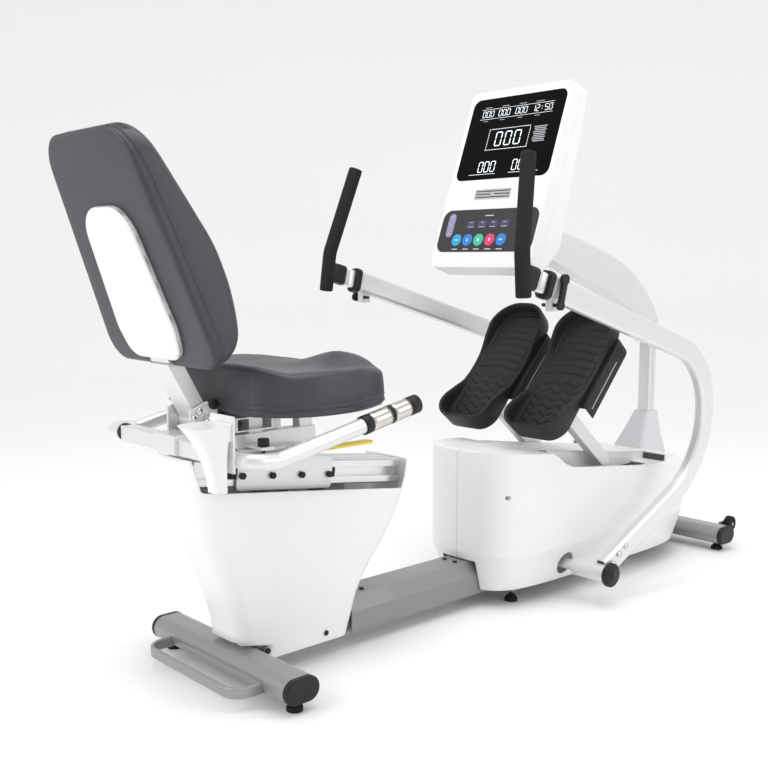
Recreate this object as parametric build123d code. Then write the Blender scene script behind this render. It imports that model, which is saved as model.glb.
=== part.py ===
from build123d import *
from math import asin, atan2, cos, degrees, hypot, radians, sin, tan
import os

os.makedirs("parts", exist_ok=True)

# Recumbent stepper. All sizes are in millimetres. In the working frame x runs from the rear
# stabiliser towards the console, y to the left of the seated user, z up from the floor.

# --- driving dimensions -------------------------------------------------------------------
CENTRE_X = 738.3          # middle of the overall length, measured from the rear stabiliser
STAB_REAR_X = 12.0        # rear stabiliser
STAB_FRONT_X = 1683.0     # front stabiliser
STAB_WIDE = 84.0
STAB_TALL = 52.0
STAB_Z = 48.0             # centre height of both stabiliser tubes
REAR_HALF = 245.0
FRONT_HALF = 212.0
CAP_LONG = 13.0
FOOT_R = 17.0
FOOT_TOP = STAB_Z - STAB_TALL / 2
WHEEL_X = STAB_FRONT_X + 68.0
WHEEL_Y = 192.0
WHEEL_Z = 68.0
WHEEL_R = 24.0
FEET_X = 840.0            # middle pair of feet, under the front housing

BEAM_HALF = 40.0
BEAM_Z0 = 33.0
BEAM_Z1 = 83.0
WALL = 3.0

RAIL_X = 182.0            # middle of the seat rail
RAIL_Z = 430.0
RAIL_TILT = 7.0           # the rail drops towards the console
RAIL_LONG = 568.0
RAIL_HALF = 50.0
RAIL_TALL = 56.0
SLOT_TALL = 22.0
SLOT_DEEP = 13.0

CARRIAGE_S = -56.0        # middle of the carriage, along the rail from its middle
CARRIAGE_LONG = 252.0
PLATE_IN = 52.5
PLATE_T = 5.0
LEVER_X = 170.0           # pivot of the lever that frees the carriage
LEVER_Z = 488.0
SWIVEL_X = 60.0
SWIVEL_Z = 500.0
SEAT_Z = 583.5
SEAT_TALL = 98.0
KNOB_X = 24.0
KNOB_Y = -118.0
HANDLE_X = -110.0         # axis that the seat handles flip about
HANDLE_Z = 522.0
HANDLE_Y = 265.0
RECLINE_X = -58.0
RECLINE_Z = 566.0

BACK_X = -213.0           # rear face of the backrest where z is BACK_Z
BACK_Z = 900.0
BACK_TILT = 21.1

PIVOT_X = 978.0           # arm pivot
PIVOT_Z = 88.0
ARM_CRANK = 64.0
PEDAL_X = 850.0           # pedal lever pivot
PEDAL_Z = 150.0
PEDAL_CRANK = 40.0
PEDAL_Y = 119.0
LEVER_TALL = 40.0
LEVER_WIDE = 28.0
KNEE_X = 1222.0           # the lever's bend under the deck
KNEE_Z = 293.0
MOUNT_X = 960.0           # where the lever meets the back of the sole
MOUNT_Z = 519.0
SOLE_ANGLE = 48.0
SOLE_LONG = 409.0
HEEL_HALF = 88.0
HEEL_R = 50.0
TOE_HALF = 92.0
TOE_R = 80.0
SOLE_THICK = 13.0
SOLE_WALL = 8.0
RACK_HALF = 105.0         # half width of the adjusting rack under the sole
HEEL_X = 879.0
HEEL_Z = 429.0

FLY_X = 1380.0            # flywheel
FLY_Z = 205.0
FLY_R = 100.0
PULLEY_Y = 50.0
PULLEY_R = 50.0
FLY_PULLEY_R = 20.0
SHELL_HALF = 167.0        # widest half width of the front housing

COLUMN_X = 1562.0
COLUMN_HALF = 19.0

SKIRT_SCREWS = (70.0, 230.0)
COVER_SCREWS = (372.0, 690.0)
COVER_TOP = 119.0

FACE_X = 942.0            # top edge of the display, on the console's face
FACE_Z = 1316.0
FACE_TILT = 20.0
CONSOLE_HALF = 172.0
LENS_LONG = 232.0
LENS_HALF = 157.0
PANEL_TOP = -316.0
PANEL_LOW = -432.0
PANEL_HALF = 163.0
LENS_R = 22.0
PANEL_R = 26.0

ARM_OUT = 254.0           # the arm's plane at floor height, from the middle plane
ARM_LEAN = 5.0            # the arm leans outwards with height
ARM_TALL = 56.0
ARM_WIDE = 30.0
ARM_BEND_R = 226.0
RUN = 0.05                # running clearance of a shaft in its bush


# --- helpers ------------------------------------------------------------------------------
def save(name, *shapes):
    """Write one sub-part, moved so that the origin is under the middle of the machine."""
    moved = [Pos(-CENTRE_X, 0, 0) * s for s in shapes]
    solids = [s for shape in moved for s in shape.solids()]
    whole = solids[0] if len(solids) == 1 else Compound(children=solids)
    export_step(whole, f"parts/{name}.step")


def block(x0, x1, y0, y1, z0, z1):
    """A box between two corners."""
    return Pos((x0 + x1) / 2, (y0 + y1) / 2, (z0 + z1) / 2) * Box(x1 - x0, y1 - y0, z1 - z0)


def rod_y(x, z, y0, y1, r):
    """A cylinder along y."""
    return Pos(x, (y0 + y1) / 2, z) * Rot(90, 0, 0) * Cylinder(r, abs(y1 - y0))


def rod_z(x, y, z0, z1, r):
    """A cylinder along z."""
    return Pos(x, y, (z0 + z1) / 2) * Cylinder(r, z1 - z0)


def prism_y(points, y0, y1):
    """A polygon in the xz plane, given thickness along y."""
    face = make_face(Polyline(*[(x, y0, z) for x, z in points], close=True))
    return extrude(face, amount=y1 - y0, dir=(0, 1, 0))


def bar(p, q, wide, tall, y):
    """A straight rectangular bar from p to q in the xz plane, centred on y."""
    long = hypot(q[0] - p[0], q[1] - p[1])
    angle = degrees(atan2(q[1] - p[1], q[0] - p[0]))
    place = Pos((p[0] + q[0]) / 2, y, (p[1] + q[1]) / 2) * Rot(0, -angle, 0)
    return place * Box(long, wide, tall)


def tube_along(path, radius, wall=None):
    """A round tube swept along a path."""
    plane = Plane(origin=path @ 0, z_dir=path % 0)
    solid = sweep(plane * Circle(radius), path=path)
    if wall is None:
        return solid
    return solid - sweep(plane * Circle(radius - wall), path=path)


def beside(curve, gap, axis, stations):
    """Points along a curve, moved sideways by a gap in the plane square to an axis."""
    points = []
    for t in stations:
        sideways = (curve % t).cross(Vector(*axis)).normalized()
        points.append(curve @ t + sideways * gap)
    return points


def rounded(length, width, radius, thick):
    """A flat plate with rounded corners, lying on z = 0."""
    return extrude(RectangleRounded(length, width, radius), amount=thick)


def mirrored(shape):
    return mirror(shape, about=Plane.XZ)


def rail_place(s, h):
    """A place on the rail: s along it towards the console, h above its centre line."""
    return Pos(RAIL_X, 0, RAIL_Z) * Rot(0, RAIL_TILT, 0) * Pos(s, 0, h)


def on_rail(x, h):
    """A point h above the rail's centre line, at x."""
    return (x, RAIL_Z + (RAIL_X - x) * tan(radians(RAIL_TILT)) + h)


def oval_y(half, x):
    """A flat-sided oval tube blank along y."""
    section = Plane.XZ * SlotOverall(STAB_WIDE, STAB_TALL)
    return Pos(x, half, STAB_Z) * extrude(section, amount=2 * half)


# --- base frame ---------------------------------------------------------------------------
def main_frame():
    x0 = STAB_REAR_X + STAB_WIDE / 2
    x1 = STAB_FRONT_X - STAB_WIDE / 2
    beam = block(x0, x1, -BEAM_HALF, BEAM_HALF, BEAM_Z0, BEAM_Z1)
    half = BEAM_HALF - WALL
    frame = beam - block(x0 - 1, x1 + 1, -half, half, BEAM_Z0 + WALL, BEAM_Z1 - WALL)
    for x in (90, 250):
        post = block(x, x + 60, -30, 30, BEAM_Z1, RAIL_Z + 60)
        frame += post - block(x + WALL, x + 60 - WALL, -27, 27, BEAM_Z1 - 1, RAIL_Z + 61)
    under = RAIL_TALL / 2 / cos(radians(RAIL_TILT))
    frame -= prism_y([on_rail(-200, -under), on_rail(600, -under), (600, 700), (-200, 700)], -80, 80)
    frame += rod_y(PIVOT_X, PIVOT_Z, -70, 70, 26)
    frame -= rod_y(PIVOT_X, PIVOT_Z, -71, 71, 20)
    for side in (-1, 1):
        frame += block(PEDAL_X - 24, PEDAL_X + 24, side * 34 - 4, side * 34 + 4, BEAM_Z1 - 2, PEDAL_Z + 22)
        for x in SKIRT_SCREWS:
            frame += rod_y(x, 58, side * 39, side * 56.3, 8)
            frame -= rod_y(x, 58, side * 45, side * 57, 2.6)
        for x in COVER_SCREWS:
            frame += rod_z(x, side * 18, BEAM_Z1 - 2, COVER_TOP - WALL - 0.2, 7)
            frame -= rod_z(x, side * 18, 100, 130, 2.6)
    frame += block(FEET_X - 14, FEET_X + 14, -94, 94, 28, BEAM_Z0)
    frame += rod_y(PEDAL_X, PEDAL_Z, -136, 136, 12)
    frame += block(FLY_X - 22, FLY_X + 22, -24, -18, BEAM_Z1 - 2, FLY_Z + 20)
    frame += block(FLY_X - 22, FLY_X + 22, 39, 68, BEAM_Z0 + 20, BEAM_Z0 + 26)
    frame += block(FLY_X - 22, FLY_X + 22, 62, 68, BEAM_Z0 + 20, FLY_Z + 20)
    return frame + rod_y(FLY_X, FLY_Z, -24, 68, 8)


def stabilizer(x, half):
    blank = oval_y(half, x)
    section = Plane.XZ * SlotOverall(STAB_WIDE - 2 * WALL, STAB_TALL - 2 * WALL)
    core = Pos(x, half + 1, STAB_Z) * extrude(section, amount=2 * half + 2)
    return blank - core


def handle_loop():
    """The flat bar loop behind the rear stabiliser, for lifting and rolling the machine."""
    path = FilletPolyline((-24, 172, 40), (-92, 172, 40), (-92, -172, 40), (-24, -172, 40), radius=38)
    plane = Plane(origin=path @ 0, z_dir=path % 0, x_dir=(0, 0, 1))
    loop = sweep(plane * RectangleRounded(24, 9, 4), path=path)
    return loop - oval_y(REAR_HALF, STAB_REAR_X)


def end_cap(x, half, side):
    section = Plane.XZ * SlotOverall(STAB_WIDE + 1, STAB_TALL + 1)
    head = Pos(x, 0, STAB_Z) * extrude(section, amount=CAP_LONG)
    head = fillet(head.edges().group_by(Axis.Y)[0], 5)
    plug_section = Plane.XZ * SlotOverall(STAB_WIDE - 2 * WALL - 0.4, STAB_TALL - 2 * WALL - 0.4)
    plug = Pos(x, 18, STAB_Z) * extrude(plug_section, amount=18)
    cap = Pos(0, -half, 0) * (head + plug)
    return cap if side < 0 else mirrored(cap)


def levelling_foot(x, y, top):
    pad = Pos(x, y, 0) * extrude(Circle(FOOT_R), amount=11)
    pad = chamfer(pad.edges().group_by(Axis.Z)[-1], 3)
    nut = Pos(x, y, 11) * extrude(RegularPolygon(11, 6), amount=5)
    return pad + nut + rod_z(x, y, 15, top, 5)


# --- seat rail, its hood and the cover over the beam --------------------------------------
def seat_rail():
    blank = Box(RAIL_LONG, 2 * RAIL_HALF, RAIL_TALL)
    blank = chamfer(blank.edges().filter_by(Axis.X), 3)
    blank -= Box(RAIL_LONG + 2, 66, RAIL_TALL - 10)
    for side in (-1, 1):
        y = side * (RAIL_HALF - SLOT_DEEP / 2)
        blank -= Pos(0, y, 0) * Box(RAIL_LONG + 2, SLOT_DEEP + 0.02, SLOT_TALL)
        blank -= Pos(0, 22 * side, RAIL_TALL / 2) * Box(RAIL_LONG + 2, 9, 4)
    return rail_place(0, 0) * blank


def hood_sections(inset):
    """Outline of the rear hood at five heights: height, rear x, front x, half width, corner."""
    rows = ((76, 4, 322, 60, 34), (150, -16, 342, 68, 40), (260, -55, 416, 79, 46), (385, -101, 478, 87, 52))
    rows += ((520, -122, 486, 88, 52),)
    outlines = []
    for z, x0, x1, half, corner in rows:
        shape = RectangleRounded(x1 - x0 - 2 * inset, 2 * (half - inset), corner - inset)
        outlines.append(Pos((x0 + x1) / 2, 0, z) * shape)
    return outlines


def rear_hood():
    hood = loft(hood_sections(0), ruled=True) - loft(hood_sections(WALL), ruled=True)
    skirt = block(55, 296, -59.5, 59.5, 38, 84) - block(40, 300, -56.5, 56.5, 30, 95)
    hood += skirt
    hood -= block(-20, 345, -57, 57, 70, COVER_TOP + 3) & block(285, 345, -60, 60, 0, 200)
    top = RAIL_TALL / 2 + 4
    low = -RAIL_TALL / 2 - 6
    hood -= prism_y([on_rail(-200, top), on_rail(600, top), (600, 900), (-200, 900)], -120, 120)
    hood -= prism_y([on_rail(-104, low), on_rail(468, low), (474, 600), (-98, 600)], -120, 120)
    for x in SKIRT_SCREWS:
        for side in (-1, 1):
            hood -= rod_y(x, 58, side * 50, side * 70, 3.2)
    return hood


def beam_cover():
    """Folded sheet cover over the beam between the two housings."""
    x0 = 312.0
    x1 = 772.0

    def section(inset, x):
        points = [(-54, 34), (-54, 84), (-36, COVER_TOP), (36, COVER_TOP), (54, 84), (54, 34)]
        ring = [(x, y * (1 - inset / 54), z - inset) for y, z in points]
        return make_face(Polyline(*ring, close=True))

    cover = extrude(section(0, x0), amount=x1 - x0, dir=(1, 0, 0))
    cover -= extrude(section(WALL, x0 - 1), amount=x1 - x0 + 2, dir=(1, 0, 0))
    for x in COVER_SCREWS:
        for y in (-18, 18):
            cover -= rod_z(x, y, 110, 125, 3)
    return cover


# --- front housing ------------------------------------------------------------------------
SPINE_HALF = 92.0
STEP = ((900, 396), (912, 391), (930, 380), (952, 363), (970, 355), (992, 348))  # edge that falls to the deck
SLOT_OUT = 146.0
HOUSING_SCREWS = ((762, 295), (1250, 110), (1590, 150))


def front_outline(z, tuck, inset):
    """Plan outline of the front housing; the sides tuck in towards the floor."""
    half = [(722, 74), (748, 122), (806, 151), (900, 161), (1100, 166), (1300, SHELL_HALF), (1470, 161)]
    half += [(1570, 132), (1626, 78)]
    half = [(x + tuck * 0.6 if x < 900 else x - tuck * 0.15, y - tuck) for x, y in half]
    ring = [(715 + tuck * 0.6, 0)] + half + [(1641 - tuck * 0.15, 0)] + [(x, -y) for x, y in half[::-1]]
    outline = Spline(*[(x, y, z) for x, y in ring], periodic=True)
    if inset:
        outline = Spline(*beside(outline, inset, (0, 0, 1), [i / 32 for i in range(32)]), periodic=True)
    return make_face(outline)


def housing_block(inset):
    """Solid body of the front housing, cut to its falling top line."""
    low = front_outline(44, 30, inset)
    waist = front_outline(140, 0, inset)
    body = loft([low, waist], ruled=True) + extrude(waist, amount=300, dir=(0, 0, 1))
    top = [(690, 400), (735, 408), (930, 394), (1000, 382), (1300, 340), (1470, 322), (1545, 288)]
    top += [(1600, 225), (1640, 120)]
    top = [(x - inset * 0.3, z - inset) for x, z in top]
    return body & prism_y([(600, 30), (600, 375)] + top + [(1700, 100), (1700, 30)], -200, 200)


def front_shell(side):
    """One half of the front housing's side shell."""
    body = housing_block(0) - housing_block(WALL)
    body -= prism_y([(958, 352), (1320, 309), (1416, 309), (1416, 500), (958, 500)], -SPINE_HALF, SPINE_HALF)
    deck = list(STEP) + [(1320, 309), (1416, 309), (1416, 500), (STEP[0][0], 500)]
    body -= prism_y(deck, SPINE_HALF + 0.3, 200)
    body -= prism_y(deck, -200, -SPINE_HALF - 0.3)
    body -= prism_y([(700, 30), (800, 30), (800, 87), (790, COVER_TOP + 3), (700, COVER_TOP + 3)], -57, 57)
    body -= block(1590, 1660, -44, 44, 30, 87)
    body -= rod_y(PIVOT_X, PIVOT_Z, -200, 200, 30)
    hole = COLUMN_HALF + 2
    body -= block(COLUMN_X - hole, COLUMN_X + hole, -hole, hole, 240, 400)
    for x, z in HOUSING_SCREWS:
        body += (rod_y(x, z, -200, 200, 9) & housing_block(0))
        if side < 0:
            body -= rod_y(x, z, -200, 200, 3.2) + rod_y(x, z, -200, -110, 6.2)
        else:
            body -= rod_y(x, z, -5, 14, 2.6)
    gap = 0.25
    keep = block(600, 1700, gap, 200, 0, 600) if side > 0 else block(600, 1700, -200, -gap, 0, 600)
    return body & keep


def deck_cover():
    """Upper deck between the shells: a raised spine with a slot on each side for the levers."""
    spine = prism_y([(962, 300), (962, 386), (1300, 340), (1414, 328), (1414, 300)], -SPINE_HALF, SPINE_HALF)
    inner = SPINE_HALF - WALL
    spine -= prism_y([(959, 299), (959, 383), (1300, 337), (1420, 324), (1420, 299)], -inner, inner)
    spine -= block(1000, 1500, -80, 80, 290, 322)
    rim = prism_y([(961, 346), (1320, 303), (1414, 303), (1414, 307), (1320, 307), (961, 350)], -157, 157)
    slope = [(x, z - 0.8) for x, z in STEP] + [(x, z - 4.8) for x, z in STEP[::-1]]
    for side in (-1, 1):
        rim += prism_y(slope, side * 157, side * SPINE_HALF)
    rim &= housing_block(WALL + 0.5)
    for side in (-1, 1):
        middle = side * (SPINE_HALF + SLOT_OUT) / 2
        wide = (SLOT_OUT - SPINE_HALF) / 2
        rim -= block(968, 1352, middle - wide, middle + wide, 290, 400)
    rim -= block(968, 1500, -inner, inner, 290, 400)
    return spine + rim


def console_column():
    post = block(COLUMN_X - COLUMN_HALF, COLUMN_X + COLUMN_HALF, -COLUMN_HALF, COLUMN_HALF, BEAM_Z1, 640)
    post = fillet(post.edges().filter_by(Axis.Z), 4)
    inner = COLUMN_HALF - WALL
    post -= block(COLUMN_X - inner, COLUMN_X + inner, -inner, inner, BEAM_Z1 - 1, 641)
    for side in (-1, 1):
        y = side * COLUMN_HALF
        post -= block(COLUMN_X - 3, COLUMN_X + 3, y - 1.2, y + 1.2, 430, 641)
    return post


def column_boot():
    """Flared moulded boot around the foot of the column."""
    low = Pos(1524, 0, 306) * RectangleRounded(132, 124, 16)
    mid = Pos(1536, 0, 345) * RectangleRounded(106, 96, 14)
    high = Pos(COLUMN_X, 0, 426) * RectangleRounded(54, 54, 8)
    boot = loft([low, mid, high]) + extrude(low, amount=90, dir=(0, 0, -1))
    hole = COLUMN_HALF + 0.3
    boot -= block(COLUMN_X - hole, COLUMN_X + hole, -hole, hole, 290, 430)
    low_in = Pos(1524, 0, 305) * RectangleRounded(124, 116, 13)
    high_in = Pos(COLUMN_X, 0, 400) * RectangleRounded(46, 46, 6)
    boot -= loft([low_in, high_in]) + extrude(low_in, amount=100, dir=(0, 0, -1))
    return boot - Pos(0, 0, 0.3) * housing_block(0)


def console_mast():
    """Deep curved arm that carries the console back over the pedals."""
    top = Spline((900, 0, 1017), (1012, 0, 990), (1120, 0, 962), (1303, 0, 912), (1429, 0, 858),
                 (1520, 0, 785), (1588, 0, 640), tangents=[(1, 0, -0.24), (0, 0, -1)])
    low = Spline((1536, 0, 640), (1480, 0, 708), (1350, 0, 779), (1205, 0, 832), (1040, 0, 893),
                 (900, 0, 943), tangents=[(-0.2, 0, 1), (-1, 0, 0.357)])
    outline = make_face(Wire([top, Line(top @ 1, low @ 0), low, Line(low @ 1, top @ 0)]))
    mast = extrude(Pos(0, -28, 0) * outline, amount=56, dir=(0, 1, 0))
    mast = fillet(mast.edges().filter_by(lambda e: e.length > 200).sort_by(Axis.Z)[-2:], 9)
    stations = [0.01, 0.15, 0.3, 0.45, 0.6, 0.75, 0.88, 0.985]
    top_in = Spline(*beside(top, WALL, (0, -1, 0), stations))
    low_in = Spline(*beside(low, WALL, (0, -1, 0), stations))
    inner = make_face(Wire([top_in, Line(top_in @ 1, low_in @ 0), low_in, Line(low_in @ 1, top_in @ 0)]))
    mast -= extrude(Pos(0, WALL - 28, 0) * inner, amount=56 - 2 * WALL, dir=(0, 1, 0))
    socket = COLUMN_HALF + 0.2
    return mast - block(COLUMN_X - socket, COLUMN_X + socket, -socket, socket, 600, 660)


# --- console ------------------------------------------------------------------------------
FACE = Plane(origin=(FACE_X, 0, FACE_Z), x_dir=(sin(radians(FACE_TILT)), 0, cos(radians(FACE_TILT))),
             z_dir=(-cos(radians(FACE_TILT)), 0, sin(radians(FACE_TILT))))
CONSOLE_TOP = 22.0
CONSOLE_LOW = -474.0
SPLIT = -34.0


def console_body(inset):
    """Console housing in the face's own frame: x up the face, z out towards the user."""
    x0 = CONSOLE_LOW + inset
    x1 = CONSOLE_TOP - inset
    back_top = -58 + inset
    back_low = -98 + inset
    side = Polyline((x0, 0, -inset), (x1, 0, -inset), (x1, 0, back_top), (x0 + 60, 0, back_low),
                    (x0, 0, back_low + 36), close=True)
    half = CONSOLE_HALF - inset
    solid = extrude(Pos(0, -half, 0) * make_face(side), amount=2 * half, dir=(0, 1, 0))
    corners = solid.edges().filter_by(lambda e: abs((e % 0.5).Z) > 0.5)
    return fillet(corners, 20 - inset)


def console_front_shell():
    shell = console_body(0) - console_body(WALL)
    screen = Pos(-LENS_LONG / 2, 0, -4)
    keys = Pos((PANEL_TOP + PANEL_LOW) / 2, 0, -4)
    keys_long = PANEL_TOP - PANEL_LOW
    shell += screen * Box(LENS_LONG + 8, 2 * LENS_HALF + 8, 6)
    shell += keys * Box(keys_long + 8, 2 * PANEL_HALF + 8, 6)
    shell -= screen * rounded(LENS_LONG + 0.6, 2 * LENS_HALF + 0.6, LENS_R + 0.3, 6)
    shell -= keys * rounded(keys_long + 0.6, 2 * PANEL_HALF + 0.6, PANEL_R + 0.3, 6)
    shell -= Pos(0, 0, SPLIT - 200) * Box(1100, 400, 400)
    for row in (-1, 0, 1):
        shell -= Pos(-274 + 8 * row, 9, 0) * Box(3.4, 116, 12)
    for x, y, wide, tall in key_places():
        shell -= Pos(x, y, -5) * Box(tall + 1, wide + 1, 8)
    return FACE * shell


def console_rear_shell():
    shell = console_body(0) - console_body(WALL) - Pos(0, 0, SPLIT + 200) * Box(1100, 400, 400)
    mast = [(850, 1030), (1012, 991), (1130, 964), (1130, 855), (1040, 892), (850, 960)]
    opening = prism_y(mast, -28.4, 28.4)
    return FACE * shell - opening


def display_lens():
    plate = Pos(-LENS_LONG / 2, 0, -3.8) * rounded(LENS_LONG, 2 * LENS_HALF, LENS_R, 4.3)
    return FACE * plate


KEY_X = -400.0            # the row of round keys, from the top of the face
ROUND_KEYS = ("quick_start_key", "enter_key", "start_key", "stop_key", "clear_key")


def key_places():
    """Centre x, centre y, width and height of each key's opening."""
    places = [(KEY_X, 95 - 38.5 * i, 33, 33) for i in range(5)]
    return places + [(-359, 128, 24, 66), (-359, -128, 24, 66)]


def control_panel():
    long = PANEL_TOP - PANEL_LOW
    plate = Pos((PANEL_TOP + PANEL_LOW) / 2, 0, -3.8) * rounded(long, 2 * PANEL_HALF, PANEL_R, 4.3)
    for x, y, wide, tall in key_places():
        if wide == tall:
            plate -= Pos(x, y, -5) * Cylinder(wide / 2 + 0.4, 20)
        else:
            plate -= Pos(x, y, -10) * extrude(SlotOverall(tall + 0.8, wide + 0.8), amount=20)
    return FACE * plate


def round_key(i):
    x, y, wide, tall = key_places()[i]
    head = Pos(x, y, -3.5) * extrude(Circle(wide / 2), amount=5.5)
    head = fillet(head.edges().group_by(Axis.Z)[-1], 1)
    return FACE * head


def rocker_key(side):
    x, y, wide, tall = key_places()[5 if side > 0 else 6]
    head = Pos(x, y, -3.5) * extrude(SlotOverall(tall, wide), amount=5.5)
    head = fillet(head.edges().group_by(Axis.Z)[-1], 1)
    return FACE * head


# --- drive inside the front housing -------------------------------------------------------
def pivot_bearings():
    """Flanged bushes in the pivot housing, two for each arm's shaft."""
    rings = []
    for side in (-1, 1):
        for y0, y1 in ((10, 34), (46, 72)):
            ring = rod_y(PIVOT_X, PIVOT_Z, side * y0, side * y1, 20)
            ring += rod_y(PIVOT_X, PIVOT_Z, side * 70, side * 72, 25) if y1 > 70 else ring
            rings.append(ring - rod_y(PIVOT_X, PIVOT_Z, side * (y0 - 1), side * (y1 + 1), 14 + RUN))
    return rings


def drive_pulley():
    y0 = PULLEY_Y - 6
    y1 = PULLEY_Y + 6
    wheel = rod_y(PEDAL_X, PEDAL_Z, y0, y1, PULLEY_R)
    wheel -= rod_y(PEDAL_X, PEDAL_Z, y0 + 6, y1 + 1, PULLEY_R - 8) - rod_y(PEDAL_X, PEDAL_Z, y0, y1, 22)
    return wheel - rod_y(PEDAL_X, PEDAL_Z, y0 - 1, y1 + 1, 12 + RUN)


def drive_belt():
    """Flat belt: two arcs and two tangent runs between the pulleys."""
    gap = 0.4
    thick = 3.0
    apart = hypot(PEDAL_X - FLY_X, PEDAL_Z - FLY_Z)
    base = atan2(PEDAL_Z - FLY_Z, PEDAL_X - FLY_X)

    def loop(extra):
        r0 = FLY_PULLEY_R + gap + extra
        r1 = PULLEY_R + gap + extra
        lean = asin((r1 - r0) / apart)
        hulls = rod_y(FLY_X, FLY_Z, PULLEY_Y - 5, PULLEY_Y + 5, r0)
        hulls += rod_y(PEDAL_X, PEDAL_Z, PULLEY_Y - 5, PULLEY_Y + 5, r1)
        up = base + radians(90) + lean
        down = base - radians(90) - lean
        quad = [(FLY_X + r0 * cos(up), FLY_Z + r0 * sin(up))]
        quad += [(PEDAL_X + r1 * cos(up), PEDAL_Z + r1 * sin(up))]
        quad += [(PEDAL_X + r1 * cos(down), PEDAL_Z + r1 * sin(down))]
        quad += [(FLY_X + r0 * cos(down), FLY_Z + r0 * sin(down))]
        return hulls + prism_y(quad, PULLEY_Y - 5, PULLEY_Y + 5)

    return loop(thick) - loop(0)


def flywheel():
    """Heavy disc with a thick rim; its small pulley is turned on the same hub."""
    wheel = rod_y(FLY_X, FLY_Z, -14, 16, FLY_R)
    dish = rod_y(FLY_X, FLY_Z, 0, 10, 80) - rod_y(FLY_X, FLY_Z, 0, 10, 24)
    wheel -= Pos(0, -15, 0) * dish + Pos(0, 7, 0) * dish
    wheel += rod_y(FLY_X, FLY_Z, 15, PULLEY_Y + 6, FLY_PULLEY_R)
    return wheel - rod_y(FLY_X, FLY_Z, -20, 60, 8 + RUN)


def brake_unit():
    """Magnetic brake: a yoke on the beam with the flywheel's rim between its magnets."""
    yoke = block(FLY_X - 110, FLY_X - 40, -30, 32, BEAM_Z1, 170)
    return yoke - block(FLY_X - 140, FLY_X, -18, 20, 92, 200)


# --- arms ---------------------------------------------------------------------------------
ARM_TOP = (650.0, 838.0)
ARM_DIR = (-0.9579, 0.2870)
KNEE_REACH = 1181.0


def arm_place():
    """The right arm's own plane: it leans outwards with height."""
    return Pos(0, -ARM_OUT, 0) * Rot(ARM_LEAN, 0, 0)


def arm_path():
    knee = (ARM_TOP[0] - KNEE_REACH * ARM_DIR[0], 0, ARM_TOP[1] - KNEE_REACH * ARM_DIR[1])
    start = (ARM_TOP[0], 0, ARM_TOP[1])
    return FilletPolyline(start, knee, (PIVOT_X + 8, 0, PIVOT_Z + 9), radius=ARM_BEND_R)


def right_arm():
    """Bent arm tube, its pivot stub, the shaft in the housing and the crank for the tie rod."""
    path = arm_path()
    plane = Plane(origin=path @ 0, z_dir=path % 0, x_dir=(0, 1, 0))
    tube = sweep(plane * RectangleRounded(ARM_WIDE, ARM_TALL, 9), path=path)
    tube -= sweep(plane * RectangleRounded(ARM_WIDE - 7, ARM_TALL - 7, 5.5), path=path)
    arm = arm_place() * tube
    ear = ARM_OUT + tan(radians(ARM_LEAN)) * 800
    arm += block(668, 696, -ear - 9, -ear + 9, 774, 806) - arm_place() * tube_core()
    arm += rod_y(PIVOT_X, PIVOT_Z, -286, -186, 24)
    arm += rod_y(PIVOT_X, PIVOT_Z, -190, -9, 14)
    arm += rod_y(PIVOT_X, PIVOT_Z, -84, -74, 24)
    arm += block(PIVOT_X - 12, PIVOT_X + 12, -84, -74, PIVOT_Z, PIVOT_Z + ARM_CRANK)
    arm += rod_y(PIVOT_X, PIVOT_Z + ARM_CRANK, -84, -74, 12)
    arm += rod_y(PIVOT_X, PIVOT_Z + ARM_CRANK, -98, -84, 5)
    return arm - rod_y(676, 788, -ear - 40, -ear + 40, 4.6)


def tube_core():
    """Space inside the straight end of the arm, in the arm's own plane."""
    place = Plane(origin=(ARM_TOP[0], 0, ARM_TOP[1]), z_dir=(ARM_DIR[0], 0, ARM_DIR[1]), x_dir=(0, 1, 0))
    return extrude(place.offset(-220) * RectangleRounded(ARM_WIDE - 7, ARM_TALL - 7, 5.5), amount=240)


def grip_tube():
    """Inner tube that slides in the arm, with the block that carries the hand grip."""
    place = Plane(origin=(ARM_TOP[0], 0, ARM_TOP[1]), z_dir=(ARM_DIR[0], 0, ARM_DIR[1]), x_dir=(0, 1, 0))
    tube = extrude(place.offset(-170) * RectangleRounded(ARM_WIDE - 7.6, ARM_TALL - 7.6, 4.7), amount=210)
    return arm_place() * tube


GRIP_LOW = (562.0, -339.0, 812.0)
GRIP_BEND = (567.0, -329.0, 908.0)
GRIP_TOP = (626.0, -293.0, 1122.0)


def hand_grip():
    path = FilletPolyline(GRIP_LOW, GRIP_BEND, GRIP_TOP, radius=90)
    foam = tube_along(path, 17.5)
    lug = Pos(592, -327, 852) * Rot(0, -16.7, 0) * Box(54, 34, 50)
    return foam + lug + grip_tube()


def cam_lever():
    """Quick-release lever on the outside of the arm's end."""
    y = ARM_OUT + tan(radians(ARM_LEAN)) * 790
    out = y + ARM_WIDE / 2 + 8
    lever = bar((676, 788), (690, 842), 8, 15, -out - 5) + rod_y(691, 846, -out - 9, -out, 12)
    lever += rod_y(676, 788, -out - 9, -out - 1, 11)
    return lever + rod_y(676, 788, -out - 2, -y + ARM_WIDE / 2 + 8, 4)


# --- pedals -------------------------------------------------------------------------------
def sole_place(side):
    """The footplate's own frame: x along the sole from heel to toe, z out of the tread."""
    return Pos(HEEL_X, side * PEDAL_Y, HEEL_Z) * Rot(0, -SOLE_ANGLE, 0)


def sole_face(inset):
    """Plan of the footplate: a blunt heel that widens a little to a round toe."""
    edges = []
    for x, half, r in ((HEEL_R, HEEL_HALF, HEEL_R), (SOLE_LONG - TOE_R, TOE_HALF, TOE_R)):
        for side in (-1, 1):
            edges += (Pos(x, side * (half - r)) * Circle(r - inset)).edges()
    return make_hull(edges)


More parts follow.
